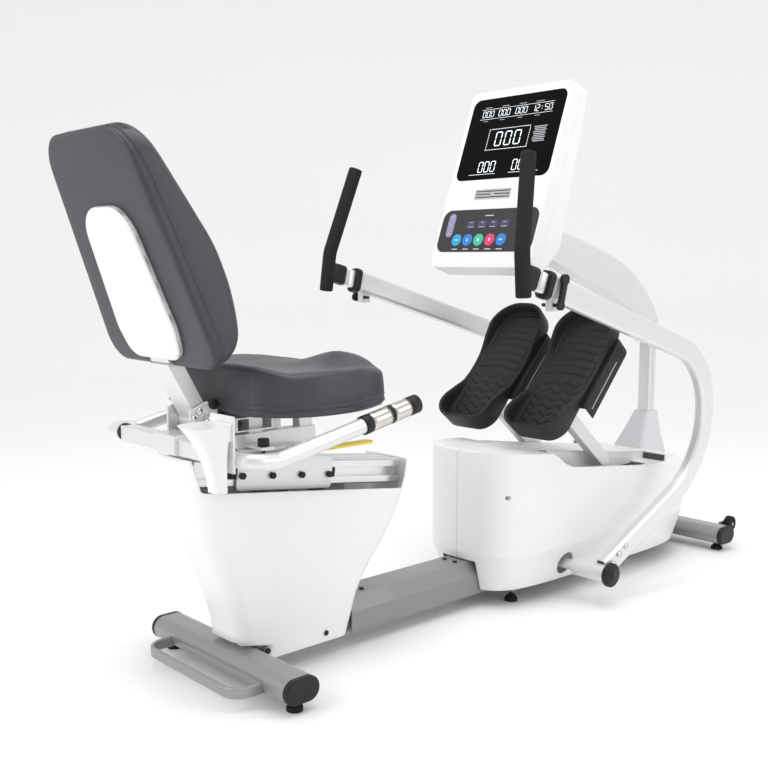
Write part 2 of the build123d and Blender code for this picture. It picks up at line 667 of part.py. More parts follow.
def footplate(side):
    """Tray for the shoe, with a high heel cup, low sides and the skirt of its adjusting rack."""
    tray = extrude(sole_face(0), amount=62) - Pos(0, 0, SOLE_THICK) * extrude(sole_face(SOLE_WALL), amount=80)
    rim = [(-40, 62), (60, 60), (150, 22), (235, 20), (300, 38), (345, 47), (520, 50), (520, 120), (-40, 120)]
    tray -= prism_y(rim, -120, 120)
    skirt = block(112, 345, -RACK_HALF, RACK_HALF, -40, 6)
    skirt = fillet(skirt.edges().filter_by(Axis.Z).group_by(Axis.X)[-1], 30)
    skirt = chamfer(skirt.edges().group_by(Axis.Z)[-1], 4)
    inner = RACK_HALF - 4
    hollow = block(60, 341, -inner, inner, -50, -0.5)
    skirt -= fillet(hollow.edges().filter_by(Axis.Z).group_by(Axis.X)[-1], 26)
    skirt -= Pos(0, 0, 5) * extrude(sole_face(0.5), amount=10)
    return sole_place(side) * (tray + skirt)


def pedal_lever(side):
    """Bent lever tube from its hub, up through the deck, to a plate under the footplate."""
    y = side * PEDAL_Y
    path = FilletPolyline((PEDAL_X, y, PEDAL_Z), (KNEE_X, y, KNEE_Z), (MOUNT_X, y, MOUNT_Z), radius=52)
    plane = Plane(origin=path @ 0, z_dir=path % 0, x_dir=(0, 1, 0))
    lever = sweep(plane * RectangleRounded(LEVER_WIDE, LEVER_TALL, 5), path=path)
    lever -= sweep(plane * RectangleRounded(LEVER_WIDE - 6, LEVER_TALL - 6, 3), path=path)
    along = hypot(MOUNT_X - HEEL_X, MOUNT_Z - HEEL_Z)
    lever -= sole_place(side) * Pos(along, 0, 98) * Box(400, 200, 200)
    lever += sole_place(side) * Pos(along, 0, -5) * Box(130, 70, 6)
    lever += rod_y(PEDAL_X, PEDAL_Z, side * 98, side * 134, 27)
    lever += block(PEDAL_X - 11, PEDAL_X + 11, side * 102 - 4, side * 102 + 4, PEDAL_Z - PEDAL_CRANK, PEDAL_Z)
    lever += rod_y(PEDAL_X, PEDAL_Z - PEDAL_CRANK, side * 98, side * 106, 11)
    lever += rod_y(PEDAL_X, PEDAL_Z - PEDAL_CRANK, side * 84, side * 98, 5)
    return lever - rod_y(PEDAL_X, PEDAL_Z, -160, 160, 12 + RUN)


def tie_rod(side):
    """Rod from the arm's crank to the pedal lever's crank; its front eye has play."""
    y0 = side * 86
    y1 = side * 96
    arm_pin = (PIVOT_X, PIVOT_Z + ARM_CRANK)
    pedal_pin = (PEDAL_X, PEDAL_Z - PEDAL_CRANK)
    rod = bar(arm_pin, pedal_pin, 10, 12, (y0 + y1) / 2)
    rod += rod_y(*arm_pin, y0, y1, 11) + rod_y(*pedal_pin, y0, y1, 14)
    rod -= rod_y(*arm_pin, side * 85, side * 97, 5 + RUN)
    return rod - rod_y(*pedal_pin, side * 85, side * 97, 9)


# --- seat carriage ------------------------------------------------------------------------
def seat_carriage():
    """Plates on both sides of the rail, joined over it and carrying the swivel's lower plate."""
    wide = PLATE_IN + PLATE_T
    body = rail_place(CARRIAGE_S, 34) * Box(CARRIAGE_LONG - 16, 2 * wide, 6)
    for side in (-1, 1):
        slab = extrude(Plane.XZ * RectangleRounded(CARRIAGE_LONG, 68, 8), amount=PLATE_T)
        body += rail_place(CARRIAGE_S, 0) * Pos(0, side * PLATE_IN if side < 0 else wide, 0) * slab
    riser = block(SWIVEL_X - 85, SWIVEL_X + 75, -45, 45, 440, SWIVEL_Z - 5)
    riser -= block(SWIVEL_X - 81, SWIVEL_X + 71, -41, 41, 430, SWIVEL_Z - 6)
    body += riser - rail_place(CARRIAGE_S, 34 - 100) * Box(500, 300, 200)
    body += rod_z(SWIVEL_X, 0, SWIVEL_Z - 6, SWIVEL_Z, 125)
    body += rod_z(SWIVEL_X, 0, SWIVEL_Z - 1, SWIVEL_Z + 14, 22)
    body += block(158, 182, -62, -50, 462, 498)
    return body + rod_y(LEVER_X, LEVER_Z, -110, -52, 4)


def carriage_bolts():
    """Black cap screws through the carriage plates, each with the glide block that it holds."""
    pieces = []
    for s in (-115, -38, 40, 116):
        for side in (-1, 1):
            head = Plane.XZ * RegularPolygon(7.5, 6)
            outer = PLATE_IN + PLATE_T
            bolt = extrude(head, amount=7)
            bolt = Pos(s, -outer if side < 0 else outer + 7, 0) * bolt
            glide = Pos(s, side * (PLATE_IN - 6.2), 0) * Box(46, 12.2, SLOT_TALL - 0.8)
            pieces += [rail_place(CARRIAGE_S, -3) * bolt, rail_place(CARRIAGE_S, 0) * glide]
    return pieces


def adjust_lever():
    """Flat lever under the right side of the seat that frees the carriage."""
    blade = block(215, 332, -112, -84, 486, 491)
    blade = fillet(blade.edges().filter_by(Axis.Z).group_by(Axis.X)[-1], 12)
    lever = blade + block(LEVER_X, 222, -104, -90, 484, 491) + rod_y(LEVER_X, LEVER_Z, -104, -90, 8)
    return lever - rod_y(LEVER_X, LEVER_Z, -120, -80, 4 + RUN)


# --- seat ---------------------------------------------------------------------------------
def seat_frame():
    """Upper swivel plate, two rails, the cross tube for the handles and the recline hinge."""
    top = SWIVEL_Z + 0.8
    frame = rod_z(SWIVEL_X, 0, top, top + 7, 105) - rod_z(SWIVEL_X, 0, top - 2, top + 9, 22 + RUN)
    for side in (-1, 1):
        y = side * 62
        tube = block(-100, 190, y - 15, y + 15, top + 6, top + 37)
        frame += tube - block(-98, 188, y - 12, y + 12, top + 9, top + 34)
        frame += block(20, 54, y - 12, y + 12, top + 36, SEAT_Z - 4)
        frame += block(150, 184, y - 12, y + 12, top + 36, SEAT_Z - 4)
        y = side * 42
        cheek = [(-100, 512), (-36, 512), (-34, 540), (-36, 590), (-60, 608), (-100, 592)]
        frame += prism_y(cheek, y - 3, y + 3)
    half = 16
    frame += block(HANDLE_X - half, HANDLE_X + half, -192, 192, HANDLE_Z - half, HANDLE_Z + half)
    frame += block(-134, -84, -39, 39, HANDLE_Z - half, 545)
    frame += block(-20, 70, -88, 88, 545, 574) - block(-17, 67, -90, 90, 548, 571)
    frame += block(KNOB_X - 16, KNOB_X + 16, KNOB_Y - 16, -60, 511, 517)
    frame -= rod_z(KNOB_X, KNOB_Y, 500, 520, 4 + RUN)
    frame -= rod_y(RECLINE_X, RECLINE_Z, -60, 60, 8 + RUN)
    return frame + Pos(170, 0, SEAT_Z - 4) * rounded(318, 350, 60, 3.7)


def seat_outline(inset):
    """Plan of the saddle: a straight rear edge, wide thighs and a rounded nose."""
    half = [(-28, 0), (-30, 90), (-26, 140), (10, 200), (80, 238), (160, 238), (235, 212), (290, 178)]
    half += [(340, 120), (368, 60)]
    points = half + [(378, 0)] + [(x, -y) for x, y in half[:0:-1]]
    ring = [(170 + (x - 170) * (1 - inset / 205), y * (1 - inset / 238)) for x, y in points]
    return ring


def seat_cushion():
    ring = seat_outline(0)
    low = Pos(0, 0, SEAT_Z + 0.3) * make_face(Spline(*[(x, y, 0) for x, y in ring], periodic=True))
    pad = extrude(low, amount=SEAT_TALL, dir=(0, 0, 1))
    return fillet(pad.edges().group_by(Axis.Z)[-1], 16)


def backrest_place():
    """On the backrest's rear face: x up the face, z forwards out of it, y to the left."""
    lean = radians(BACK_TILT)
    up = (-sin(lean), 0, cos(lean))
    return Plane(origin=(BACK_X, 0, BACK_Z), x_dir=up, z_dir=(cos(lean), 0, sin(lean)))


BACK_LOW = -232.0
BACK_HIGH = 238.0


def backrest_cushion():
    low = BACK_LOW
    depth = Spline((low, 0, 44), (low + 40, 0, 64), (low + 110, 0, 88), (low + 165, 0, 91),
                   (low + 260, 0, 66), (low + 370, 0, 42), (BACK_HIGH, 0, 26))
    outline = Wire([Line((low, 0, 0.3), (low, 0, 44)), depth, Line((BACK_HIGH, 0, 26), (BACK_HIGH, 0, 0.3)),
                    Line((BACK_HIGH, 0, 0.3), (low, 0, 0.3))])
    body = extrude(Pos(0, -230, 0) * make_face(outline), amount=460, dir=(0, 1, 0))
    front = FilletPolyline((low, 205, 0), (low, -205, 0), (BACK_HIGH, -157, 0), (BACK_HIGH, 157, 0),
                           close=True, radius=48)
    body = body & extrude(make_face(front), amount=120, dir=(0, 0, 1))
    body -= Pos(low + 125, 0, 8) * Box(252, 76, 24) + Pos(low + 10, 0, 10) * Box(44, 76, 40)
    return backrest_place() * body


def backrest_panel():
    """White moulded cover over the post, on the back of the cushion."""
    high = 96.0
    low = -212.0
    outline = FilletPolyline((low, 96, 0), (low, -96, 0), (low + 60, -112, 0), (high, -84, 0), (high, 84, 0),
                             (low + 60, 112, 0), close=True, radius=22)
    outer = extrude(make_face(outline), amount=-12, dir=(0, 0, 1))
    inner = Pos(0, 0, 0.1) * extrude(offset(make_face(outline), -3), amount=-9, dir=(0, 0, 1))
    panel = fillet(outer.edges().group_by(Axis.Z)[0], 5) - inner
    panel -= Pos(low, 0, -2) * Box(20, 72, 16)
    return backrest_place() * panel


def backrest_post():
    """Post of the backrest: it leans from the hinge and then follows the cushion's back."""
    place = backrest_place()
    top = place.location * Pos(8, 0, 5)
    bend = place.location * Pos(BACK_LOW + 8, 0, 5)
    knee = (bend.position.X, bend.position.Z)
    upper = bar(knee, (top.position.X, top.position.Z), 68, 22, 0)
    foot = (RECLINE_X - 2, RECLINE_Z + 6)
    lower = bar(foot, knee, 68, 30, 0)
    lug = rod_y(RECLINE_X, RECLINE_Z, -38.6, 38.6, 20)
    post = upper + lower + lug
    post += rod_y(RECLINE_X, RECLINE_Z, -52, 52, 8)
    for side in (-1, 1):
        post += rod_y(RECLINE_X, RECLINE_Z, side * 46, side * 53, 14)
    return post


GRIP_START = (-50, HANDLE_Y, HANDLE_Z - 5)
GRIP_END = (300, HANDLE_Y, 590)


def seat_handle(side):
    """Round tube that runs out of the cross tube and forwards past the seat."""
    turn = (HANDLE_X, HANDLE_Y, HANDLE_Z)
    path = FilletPolyline((HANDLE_X, 193, HANDLE_Z), turn, GRIP_START, GRIP_END, radius=26)
    tube = tube_along(path, 16)
    return tube if side > 0 else mirrored(tube)


def pulse_grip(side):
    """Sleeve with the hand sensors over the straight end of the handle."""
    line = Line(GRIP_START, GRIP_END)
    sleeve = tube_along(Line(line @ 0.6, line @ 1.015), 18.5) - tube_along(Line(line @ 0.5, line @ 1), 16)
    return sleeve if side > 0 else mirrored(sleeve)


def bottle_holder():
    """Open tapering pocket behind the right handle, screwed to the end of the cross tube."""
    rows = ((466, -152, 28, 38, 11), (512, -157, 36, 44, 14), (556, -166, 56, 60, 20))
    rows += ((594, -178, 92, 80, 30),)

    def funnel(inset, rise):
        """Solid through the four sections, made smaller by an inset."""
        return loft([Pos(x, -219, z + rise) * RectangleRounded(long - 2 * inset, wide - 2 * inset, r - inset)
                     for z, x, long, wide, r in rows])

    outer = funnel(0, 0)
    inner = funnel(2.6, 0.4)
    inner += Pos(-178, -219, 594) * extrude(RectangleRounded(86.8, 74.8, 27.4), amount=4)
    inner -= block(-200, -100, -260, -180, 460, 470)
    strap = block(-131, -126.6, -240, -166, 500, 606) + block(-131, -126, -190, -166, 508, 536)
    strap += block(-144, -126.6, -236, -196, 560, 590)
    return outer + strap - inner


def swivel_knob():
    """Spring plunger that locks the swivel."""
    knob = rod_z(KNOB_X, KNOB_Y, 517.5, 533, 12)
    return fillet(knob.edges().group_by(Axis.Z)[-1], 3) + rod_z(KNOB_X, KNOB_Y, 501.5, 518, 4)


def transport_wheel(side):
    y = side * WHEEL_Y
    tyre = rod_y(WHEEL_X, WHEEL_Z, y - 10, y + 10, WHEEL_R)
    tyre = fillet(tyre.edges().filter_by(GeomType.CIRCLE), 4)
    return tyre - rod_y(WHEEL_X, WHEEL_Z, y - 12, y + 12, 5 + RUN)


def wheel_bracket(side):
    y = side * WHEEL_Y
    inside = y - side * 15
    cheek = block(WHEEL_X - 36, WHEEL_X + 8, inside - 2.5, inside + 2.5, WHEEL_Z - 10, WHEEL_Z + 8)
    cheek -= oval_y(FRONT_HALF, STAB_FRONT_X)
    return cheek + rod_y(WHEEL_X, WHEEL_Z, y - side * 15, y + side * 12, 5)


# --- fasteners ----------------------------------------------------------------------------
def shell_screws():
    """Cross-head screws of the hood, the beam cover and the front housing."""
    pieces = []
    for x in SKIRT_SCREWS:
        for side in (-1, 1):
            pieces.append(rod_y(x, 58, side * 46, side * 60, 2.5) + rod_y(x, 58, side * 59.6, side * 62, 6))
    for x in COVER_SCREWS:
        for y in (-18, 18):
            pieces.append(rod_z(x, y, 101, 120, 2.5) + rod_z(x, y, COVER_TOP + 0.1, COVER_TOP + 3, 6))
    for x, z in HOUSING_SCREWS:
        pieces.append(rod_y(x, z, -114, 13, 2.5) + rod_y(x, z, -114, -110.2, 5.5))
    return pieces


# --- build every sub-part -----------------------------------------------------------------
SIDES = (("right", -1), ("left", 1))

save("main_frame", main_frame())
save("rear_stabilizer", stabilizer(STAB_REAR_X, REAR_HALF))
brackets = [wheel_bracket(side) for name, side in SIDES]
save("front_stabilizer", stabilizer(STAB_FRONT_X, FRONT_HALF) + brackets)
save("rear_handle_loop", handle_loop())
caps = [end_cap(x, half, side) for x, half in ((STAB_REAR_X, REAR_HALF), (STAB_FRONT_X, FRONT_HALF))
        for side in (-1, 1)]
save("stabilizer_end_caps", *caps)
feet = [levelling_foot(STAB_REAR_X, side * 228, FOOT_TOP) for side in (-1, 1)]
feet += [levelling_foot(STAB_FRONT_X, side * 190, FOOT_TOP) for side in (-1, 1)]
feet += [levelling_foot(FEET_X, side * 80, 28) for side in (-1, 1)]
save("levelling_feet", *feet)
save("seat_rail", seat_rail())
save("rear_hood", rear_hood())
save("beam_cover", beam_cover())
save("front_shell_right", front_shell(-1))
save("front_shell_left", front_shell(1))
save("deck_cover", deck_cover())
save("console_column", console_column())
save("column_boot", column_boot())
save("console_mast", console_mast())
save("console_front_shell", console_front_shell())
save("console_rear_shell", console_rear_shell())
save("display_lens", display_lens())
save("control_panel", control_panel())
for i, name in enumerate(ROUND_KEYS):
    save(name, round_key(i))
save("rocker_key_left", rocker_key(1))
save("rocker_key_right", rocker_key(-1))
save("shell_screws", *shell_screws())
save("pivot_bearings", *pivot_bearings())
save("drive_pulley", drive_pulley())
save("drive_belt", drive_belt())
save("flywheel", flywheel())
save("brake_unit", brake_unit())
save("seat_carriage", seat_carriage())
save("carriage_bolts", *carriage_bolts())
save("adjust_lever", adjust_lever())
save("seat_frame", seat_frame())
save("seat_cushion", seat_cushion())
save("backrest_post", backrest_post())
save("backrest_panel", backrest_panel())
save("backrest_cushion", backrest_cushion())
save("bottle_holder", bottle_holder())
save("swivel_knob", swivel_knob())
right_side = {"arm": right_arm(), "handgrip": hand_grip(), "cam_lever": cam_lever()}
for name, shape in right_side.items():
    save(f"{name}_right", shape)
    save(f"{name}_left", mirrored(shape))
for name, side in SIDES:
    save(f"footplate_{name}", footplate(side))
    save(f"pedal_lever_{name}", pedal_lever(side))
    save(f"tie_rod_{name}", tie_rod(side))
    save(f"seat_handle_{name}", seat_handle(side))
    save(f"pulse_grip_{name}", pulse_grip(side))
    save(f"transport_wheel_{name}", transport_wheel(side))
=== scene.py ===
from math import atan2, cos, hypot, pi, radians, sin

import bpy
from mathutils import Matrix, Vector, noise


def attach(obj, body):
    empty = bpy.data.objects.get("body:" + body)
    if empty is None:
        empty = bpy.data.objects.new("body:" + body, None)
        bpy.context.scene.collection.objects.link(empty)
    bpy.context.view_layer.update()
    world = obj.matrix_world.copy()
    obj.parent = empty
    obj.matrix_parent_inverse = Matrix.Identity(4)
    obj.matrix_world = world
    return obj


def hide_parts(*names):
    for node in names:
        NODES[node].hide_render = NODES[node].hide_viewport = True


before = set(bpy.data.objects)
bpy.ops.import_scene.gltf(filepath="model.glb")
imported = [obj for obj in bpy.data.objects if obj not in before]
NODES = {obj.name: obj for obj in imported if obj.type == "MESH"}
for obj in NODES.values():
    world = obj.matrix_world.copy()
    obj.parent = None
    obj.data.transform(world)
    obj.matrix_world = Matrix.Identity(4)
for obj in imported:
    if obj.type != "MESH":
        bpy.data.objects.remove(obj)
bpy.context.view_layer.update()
CX = 0.7383


# --- camera and light ---------------------------------------------------------------------
def add_camera():
    yaw, pitch = radians(47.654), radians(6.932)
    forward = Vector((cos(yaw) * cos(pitch), sin(yaw) * cos(pitch), -sin(pitch)))
    data = bpy.data.cameras.new("camera")
    data.lens = 48.39
    data.sensor_width = 36.0
    data.clip_end = 60.0
    camera = bpy.data.objects.new("camera", data)
    camera.location = (-1.1790 - CX, -1.7989, 0.8928)
    camera.rotation_euler = forward.to_track_quat("-Z", "Y").to_euler()
    bpy.context.scene.collection.objects.link(camera)
    bpy.context.scene.camera = camera


def add_area(name, place, target, wide, tall, power):
    data = bpy.data.lights.new(name, "AREA")
    data.shape = "RECTANGLE"
    data.size, data.size_y, data.energy = wide, tall, power
    lamp = bpy.data.objects.new(name, data)
    lamp.location = place
    aim = Vector(target) - Vector(place)
    lamp.rotation_euler = aim.to_track_quat("-Z", "Y").to_euler()
    bpy.context.scene.collection.objects.link(lamp)


def add_light():
    world = bpy.data.worlds.new("studio")
    bpy.context.scene.world = world
    world.use_nodes = True
    back = world.node_tree.nodes["Background"]
    back.inputs["Color"].default_value = (1.0, 1.0, 1.0, 1.0)
    back.inputs["Strength"].default_value = 0.72
    add_area("top", (-0.3, -0.4, 3.6), (0, 0, 0.4), 3.0, 2.4, 66)
    add_area("left", (-3.2, 0.6, 2.0), (0, 0, 0.6), 1.6, 2.4, 36)
    add_area("right", (1.4, -3.2, 1.9), (0.2, 0, 0.5), 2.2, 1.8, 26)


add_camera()
add_light()
bpy.context.scene.view_settings.view_transform = "Standard"


# --- materials ----------------------------------------------------------------------------
class Shade:
    """A node material: a principled shader with procedural detail wired into it."""

    def __init__(self, name, colour, rough, metal=0.0, coat=0.0, shine=0.5):
        self.material = bpy.data.materials.new(name)
        self.material.use_nodes = True
        self.tree = self.material.node_tree
        self.shader = self.tree.nodes["Principled BSDF"]
        self.shader.inputs["Base Color"].default_value = (*colour, 1.0)
        self.shader.inputs["Roughness"].default_value = rough
        self.shader.inputs["Metallic"].default_value = metal
        self.shader.inputs["Coat Weight"].default_value = coat
        self.shader.inputs["Specular IOR Level"].default_value = shine
        self.colour, self.rough = colour, rough
        self.normal = None

    def node(self, kind, **values):
        made = self.tree.nodes.new(kind)
        for key, value in values.items():
            made.inputs[key].default_value = value
        return made

    def link(self, a, b):
        self.tree.links.new(a, b)

    def coords(self, stretch=(1, 1, 1)):
        source = self.node("ShaderNodeTexCoord")
        mapping = self.node("ShaderNodeMapping", Scale=stretch)
        self.link(source.outputs["Object"], mapping.inputs["Vector"])
        return mapping.outputs["Vector"]

    def noise(self, scale, detail=4.0, rough=0.5, stretch=(1, 1, 1)):
        made = self.node("ShaderNodeTexNoise", Scale=scale, Detail=detail, Roughness=rough)
        self.link(self.coords(stretch), made.inputs["Vector"])
        return made.outputs["Fac"]

    def cells(self, scale, feature="F1"):
        made = self.node("ShaderNodeTexVoronoi", Scale=scale)
        made.feature = feature
        self.link(self.coords(), made.inputs["Vector"])
        return made.outputs["Distance"]

    def remap(self, value, low, high):
        made = self.node("ShaderNodeMapRange")
        made.inputs["To Min"].default_value = low
        made.inputs["To Max"].default_value = high
        self.link(value, made.inputs["Value"])
        return made.outputs["Result"]

    def vary_rough(self, value, spread):
        self.link(self.remap(value, self.rough - spread, self.rough + spread), self.shader.inputs["Roughness"])

    def vary_colour(self, value, spread):
        ramp = self.node("ShaderNodeValToRGB")
        ramp.color_ramp.elements[0].color = (*[c * (1 - spread) for c in self.colour], 1)
        ramp.color_ramp.elements[1].color = (*[min(1, c * (1 + spread)) for c in self.colour], 1)
        self.link(value, ramp.inputs["Fac"])
        self.link(ramp.outputs["Color"], self.shader.inputs["Base Color"])

    def bump(self, value, distance, strength=1.0):
        made = self.node("ShaderNodeBump", Distance=distance, Strength=strength)
        self.link(value, made.inputs["Height"])
        if self.normal:
            self.link(self.normal, made.inputs["Normal"])
        self.normal = made.outputs["Normal"]
        self.link(self.normal, self.shader.inputs["Normal"])

    def soften(self, radius):
        made = self.node("ShaderNodeBevel", Radius=radius)
        made.samples = 6
        self.normal = made.outputs["Normal"]
        self.link(self.normal, self.shader.inputs["Normal"])


def paint(name, colour, rough=0.34, edge=0.0015, metal=0.45):
    shade = Shade(name, colour, rough, metal=metal, coat=0.3)
    shade.soften(edge)
    shade.vary_rough(shade.noise(45), 0.05)
    shade.vary_colour(shade.noise(6, 3), 0.03)
    shade.bump(shade.noise(900, 2), 0.00008, 0.35)
    return shade.material


def plastic(name, colour, rough, edge=0.002, grain=1400, depth=0.00006, shine=0.5):
    shade = Shade(name, colour, rough, shine=shine)
    shade.soften(edge)
    shade.vary_rough(shade.noise(30), 0.05)
    shade.vary_colour(shade.noise(5, 3), 0.02)
    shade.bump(shade.noise(grain, 2), depth, 0.4)
    return shade.material


def vinyl(name, colour):
    shade = Shade(name, colour, 0.40, shine=0.36)
    shade.vary_rough(shade.noise(60, 5), 0.07)
    shade.vary_colour(shade.noise(14, 5), 0.10)
    shade.bump(shade.noise(26, 5, 0.6), 0.0012, 0.25)
    shade.bump(shade.cells(900), 0.00016, 0.5)
    return shade.material


def foam(name, colour):
    shade = Shade(name, colour, 0.86, shine=0.2)
    shade.vary_colour(shade.noise(40, 5), 0.2)
    shade.vary_rough(shade.noise(300), 0.06)
    shade.bump(shade.cells(700), 0.0004, 0.7)
    return shade.material


def brushed(name, colour, rough, stretch=(1, 40, 40), edge=0.0008):
    shade = Shade(name, colour, rough, metal=1.0)
    shade.soften(edge)
    shade.vary_rough(shade.noise(60, 4, 0.6, stretch), 0.08)
    shade.vary_colour(shade.noise(8), 0.04)
    shade.bump(shade.noise(220, 3, 0.6, stretch), 0.00004, 0.35)
    return shade.material


def glass_black(name):
    shade = Shade(name, (0.0025, 0.0027, 0.003), 0.22, shine=0.07)
    shade.vary_rough(shade.noise(12, 5), 0.05)
    shade.bump(shade.noise(18, 2), 0.0002, 0.06)
    return shade.material


def glow(name, colour, power):
    shade = Shade(name, colour, 0.4)
    shade.shader.inputs["Emission Color"].default_value = (*colour, 1)
    shade.shader.inputs["Emission Strength"].default_value = power
    shade.vary_colour(shade.noise(400), 0.1)
    return shade.material


SILVER = paint("silver_paint_look", (0.74, 0.745, 0.75))
SILVER_DARK = paint("grey_paint_look", (0.30, 0.305, 0.31))
COVER_GREY = paint("cover_paint_look", (0.24, 0.243, 0.248), 0.42, metal=0.2)
WHITE = plastic("white_shell_look", (0.83, 0.833, 0.83), 0.32, edge=0.004)
WHITE_SOFT = plastic("white_satin_look", (0.81, 0.813, 0.81), 0.42, edge=0.002)
GREY = plastic("light_grey_look", (0.62, 0.63, 0.65), 0.42)
BLACK = plastic("black_plastic_look", (0.012, 0.012, 0.0125), 0.45, edge=0.001, shine=0.3)
TREAD = plastic("tread_look", (0.015, 0.0145, 0.0135), 0.5, edge=0.0012, grain=700, depth=0.0002, shine=0.32)
RUBBER = foam("rubber_look", (0.018, 0.018, 0.018))
FOAM = foam("foam_look", (0.020, 0.0195, 0.019))
VINYL = vinyl("vinyl_look", (0.050, 0.053, 0.061))
THREAD = foam("thread_look", (0.085, 0.09, 0.10))
ALU = brushed("aluminium_look", (0.72, 0.73, 0.74), 0.30)
ZINC = brushed("zinc_look", (0.66, 0.67, 0.68), 0.28, (1, 1, 1))
STAINLESS = brushed("stainless_look", (0.62, 0.59, 0.55), 0.26, (40, 1, 40))
IRON = brushed("iron_look", (0.25, 0.25, 0.26), 0.45, (1, 1, 1))
BRONZE = brushed("bronze_look", (0.55, 0.40, 0.20), 0.4, (1, 1, 1))
LENS = glass_black("lens_look")
DIGIT = glow("digit_look", (0.80, 0.84, 0.88), 0.9)
PRINT = plastic("print_look", (0.75, 0.76, 0.78), 0.5)
LABEL = glow("label_look", (0.35, 0.36, 0.38), 0.3)
KEY_BLUE = plastic("key_blue_look", (0.03, 0.22, 0.62), 0.3, edge=0.0008)
KEY_CYAN = plastic("key_cyan_look", (0.03, 0.36, 0.62), 0.3, edge=0.0008)
KEY_GREEN = plastic("key_green_look", (0.05, 0.50, 0.30), 0.3, edge=0.0008)
KEY_RED = plastic("key_red_look", (0.72, 0.05, 0.16), 0.3, edge=0.0008)
KEY_LILAC = plastic("key_lilac_look", (0.30, 0.27, 0.42), 0.35, edge=0.0008)
KEY_DIM = plastic("key_dim_look", (0.085, 0.08, 0.13), 0.4, edge=0.0008, shine=0.2)
PANEL = plastic("panel_look", (0.042, 0.041, 0.046), 0.42, edge=0.0015, shine=0.25)
YELLOW = plastic("yellow_look", (0.85, 0.62, 0.03), 0.4, edge=0.0015)

LOOKS = {
    "main_frame": SILVER_DARK, "rear_stabilizer": SILVER_DARK, "front_stabilizer": SILVER_DARK,
    "rear_handle_loop": SILVER_DARK, "stabilizer_end_caps": BLACK, "levelling_feet": RUBBER, "seat_rail": ALU,
    "rear_hood": WHITE, "beam_cover": COVER_GREY, "front_shell_right": WHITE, "front_shell_left": WHITE,
    "deck_cover": WHITE, "console_column": SILVER, "column_boot": GREY, "console_mast": SILVER,
    "console_front_shell": WHITE_SOFT, "console_rear_shell": WHITE_SOFT, "display_lens": LENS,
    "control_panel": PANEL, "shell_screws": BLACK, "pivot_bearings": BRONZE, "drive_belt": RUBBER,
    "brake_unit": BLACK, "drive_pulley": BLACK, "flywheel": IRON, "seat_carriage": SILVER,
    "carriage_bolts": BLACK, "adjust_lever": YELLOW, "seat_frame": SILVER, "bottle_holder": WHITE_SOFT,
    "backrest_post": SILVER, "backrest_panel": WHITE, "swivel_knob": BLACK, "quick_start_key": KEY_CYAN,
    "enter_key": KEY_BLUE, "start_key": KEY_GREEN, "stop_key": KEY_RED, "clear_key": KEY_BLUE,
    "rocker_key_left": KEY_LILAC, "rocker_key_right": KEY_LILAC, "seat_cushion": VINYL,
    "backrest_cushion": VINYL,
}
PAIRED = {"arm": SILVER, "cam_lever": BLACK, "tie_rod": ZINC, "pedal_lever": SILVER, "footplate": TREAD,
          "handgrip": FOAM, "seat_handle": SILVER, "pulse_grip": BLACK, "transport_wheel": RUBBER}
for name, look in list(PAIRED.items()):
    for side in ("right", "left"):
        LOOKS[f"{name}_{side}"] = look
for name, thing in NODES.items():
    thing.data.materials.clear()
    thing.data.materials.append(LOOKS[name])


# --- mesh helpers -------------------------------------------------------------------------
def place(points):
    """Working frame in millimetres to the row frame in metres."""
    return [Vector((p[0] / 1000 - CX, p[1] / 1000, p[2] / 1000)) for p in points]


def make(name, points, faces, look, body, smooth=True, mm=True):
    data = bpy.data.meshes.new(name)
    data.from_pydata(place(points) if mm else points, [], faces)
    data.validate()
    data.update()
    for polygon in data.polygons:
        polygon.use_smooth = smooth
    thing = bpy.data.objects.new(name, data)
    data.materials.append(look)
    bpy.context.scene.collection.objects.link(thing)
    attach(thing, body)
    return thing


def skin(rings, closed_ends=True):
    """Points and faces that join rings of equal length, with a fan over each end."""
    count = len(rings[0])
    points = [p for ring in rings for p in ring]
    faces = []
    for r in range(len(rings) - 1):
        for i in range(count):
            j = (i + 1) % count
            faces.append((r * count + i, r * count + j, (r + 1) * count + j, (r + 1) * count + i))
    if closed_ends:
        faces.append(tuple(range(count))[::-1])
        faces.append(tuple((len(rings) - 1) * count + i for i in range(count)))
    return points, faces


def sweep(path, section, up=(0, 1, 0)):
    """Rings of a section carried along a path of points."""
    rings = []
    for i, p in enumerate(path):
        a = Vector(path[max(i - 1, 0)])
        b = Vector(path[min(i + 1, len(path) - 1)])
        along = (b - a).normalized()
        side = Vector(up) - along * along.dot(Vector(up))
        side.normalize()
        high = along.cross(side)
        scale = 1.0
        rings.append([Vector(p) + side * u * scale + high * v * scale for u, v in section])
    return rings


def round_section(r, count=24):
    return [(r * cos(2 * pi * i / count), r * sin(2 * pi * i / count)) for i in range(count)]


def box_section(wide, tall, r, step=6):
    """A rounded rectangle as a ring of points."""
    ring = []
    for k, (sx, sy) in enumerate(((1, 1), (-1, 1), (-1, -1), (1, -1))):
        for i in range(step + 1):
            a = pi / 2 * (k + i / step)
            ring.append((sx * (wide / 2 - r) + r * cos(a), sy * (tall / 2 - r) + r * sin(a)))
    return ring


def rounded_path(corners, radius, step=10):
    """Points along straight runs joined by arcs."""
    corners = [Vector(c) for c in corners]
    points = [corners[0]]
    for a, b, c in zip(corners, corners[1:], corners[2:]):
        back, ahead = (a - b).normalized(), (c - b).normalized()
        angle = back.angle(ahead)
        reach = radius / math_tan(angle / 2)
        start, end = b + back * reach, b + ahead * reach
        centre = b + (back + ahead).normalized() * (radius / sin(angle / 2))
        u = start - centre
        v = end - centre
        turn = u.angle(v)
        for i in range(step + 1):
            t = i / step
            points.append(centre + (u * sin((1 - t) * turn) + v * sin(t * turn)) / sin(turn))
    points.append(corners[-1])
    return points


def math_tan(a):
    return sin(a) / cos(a)


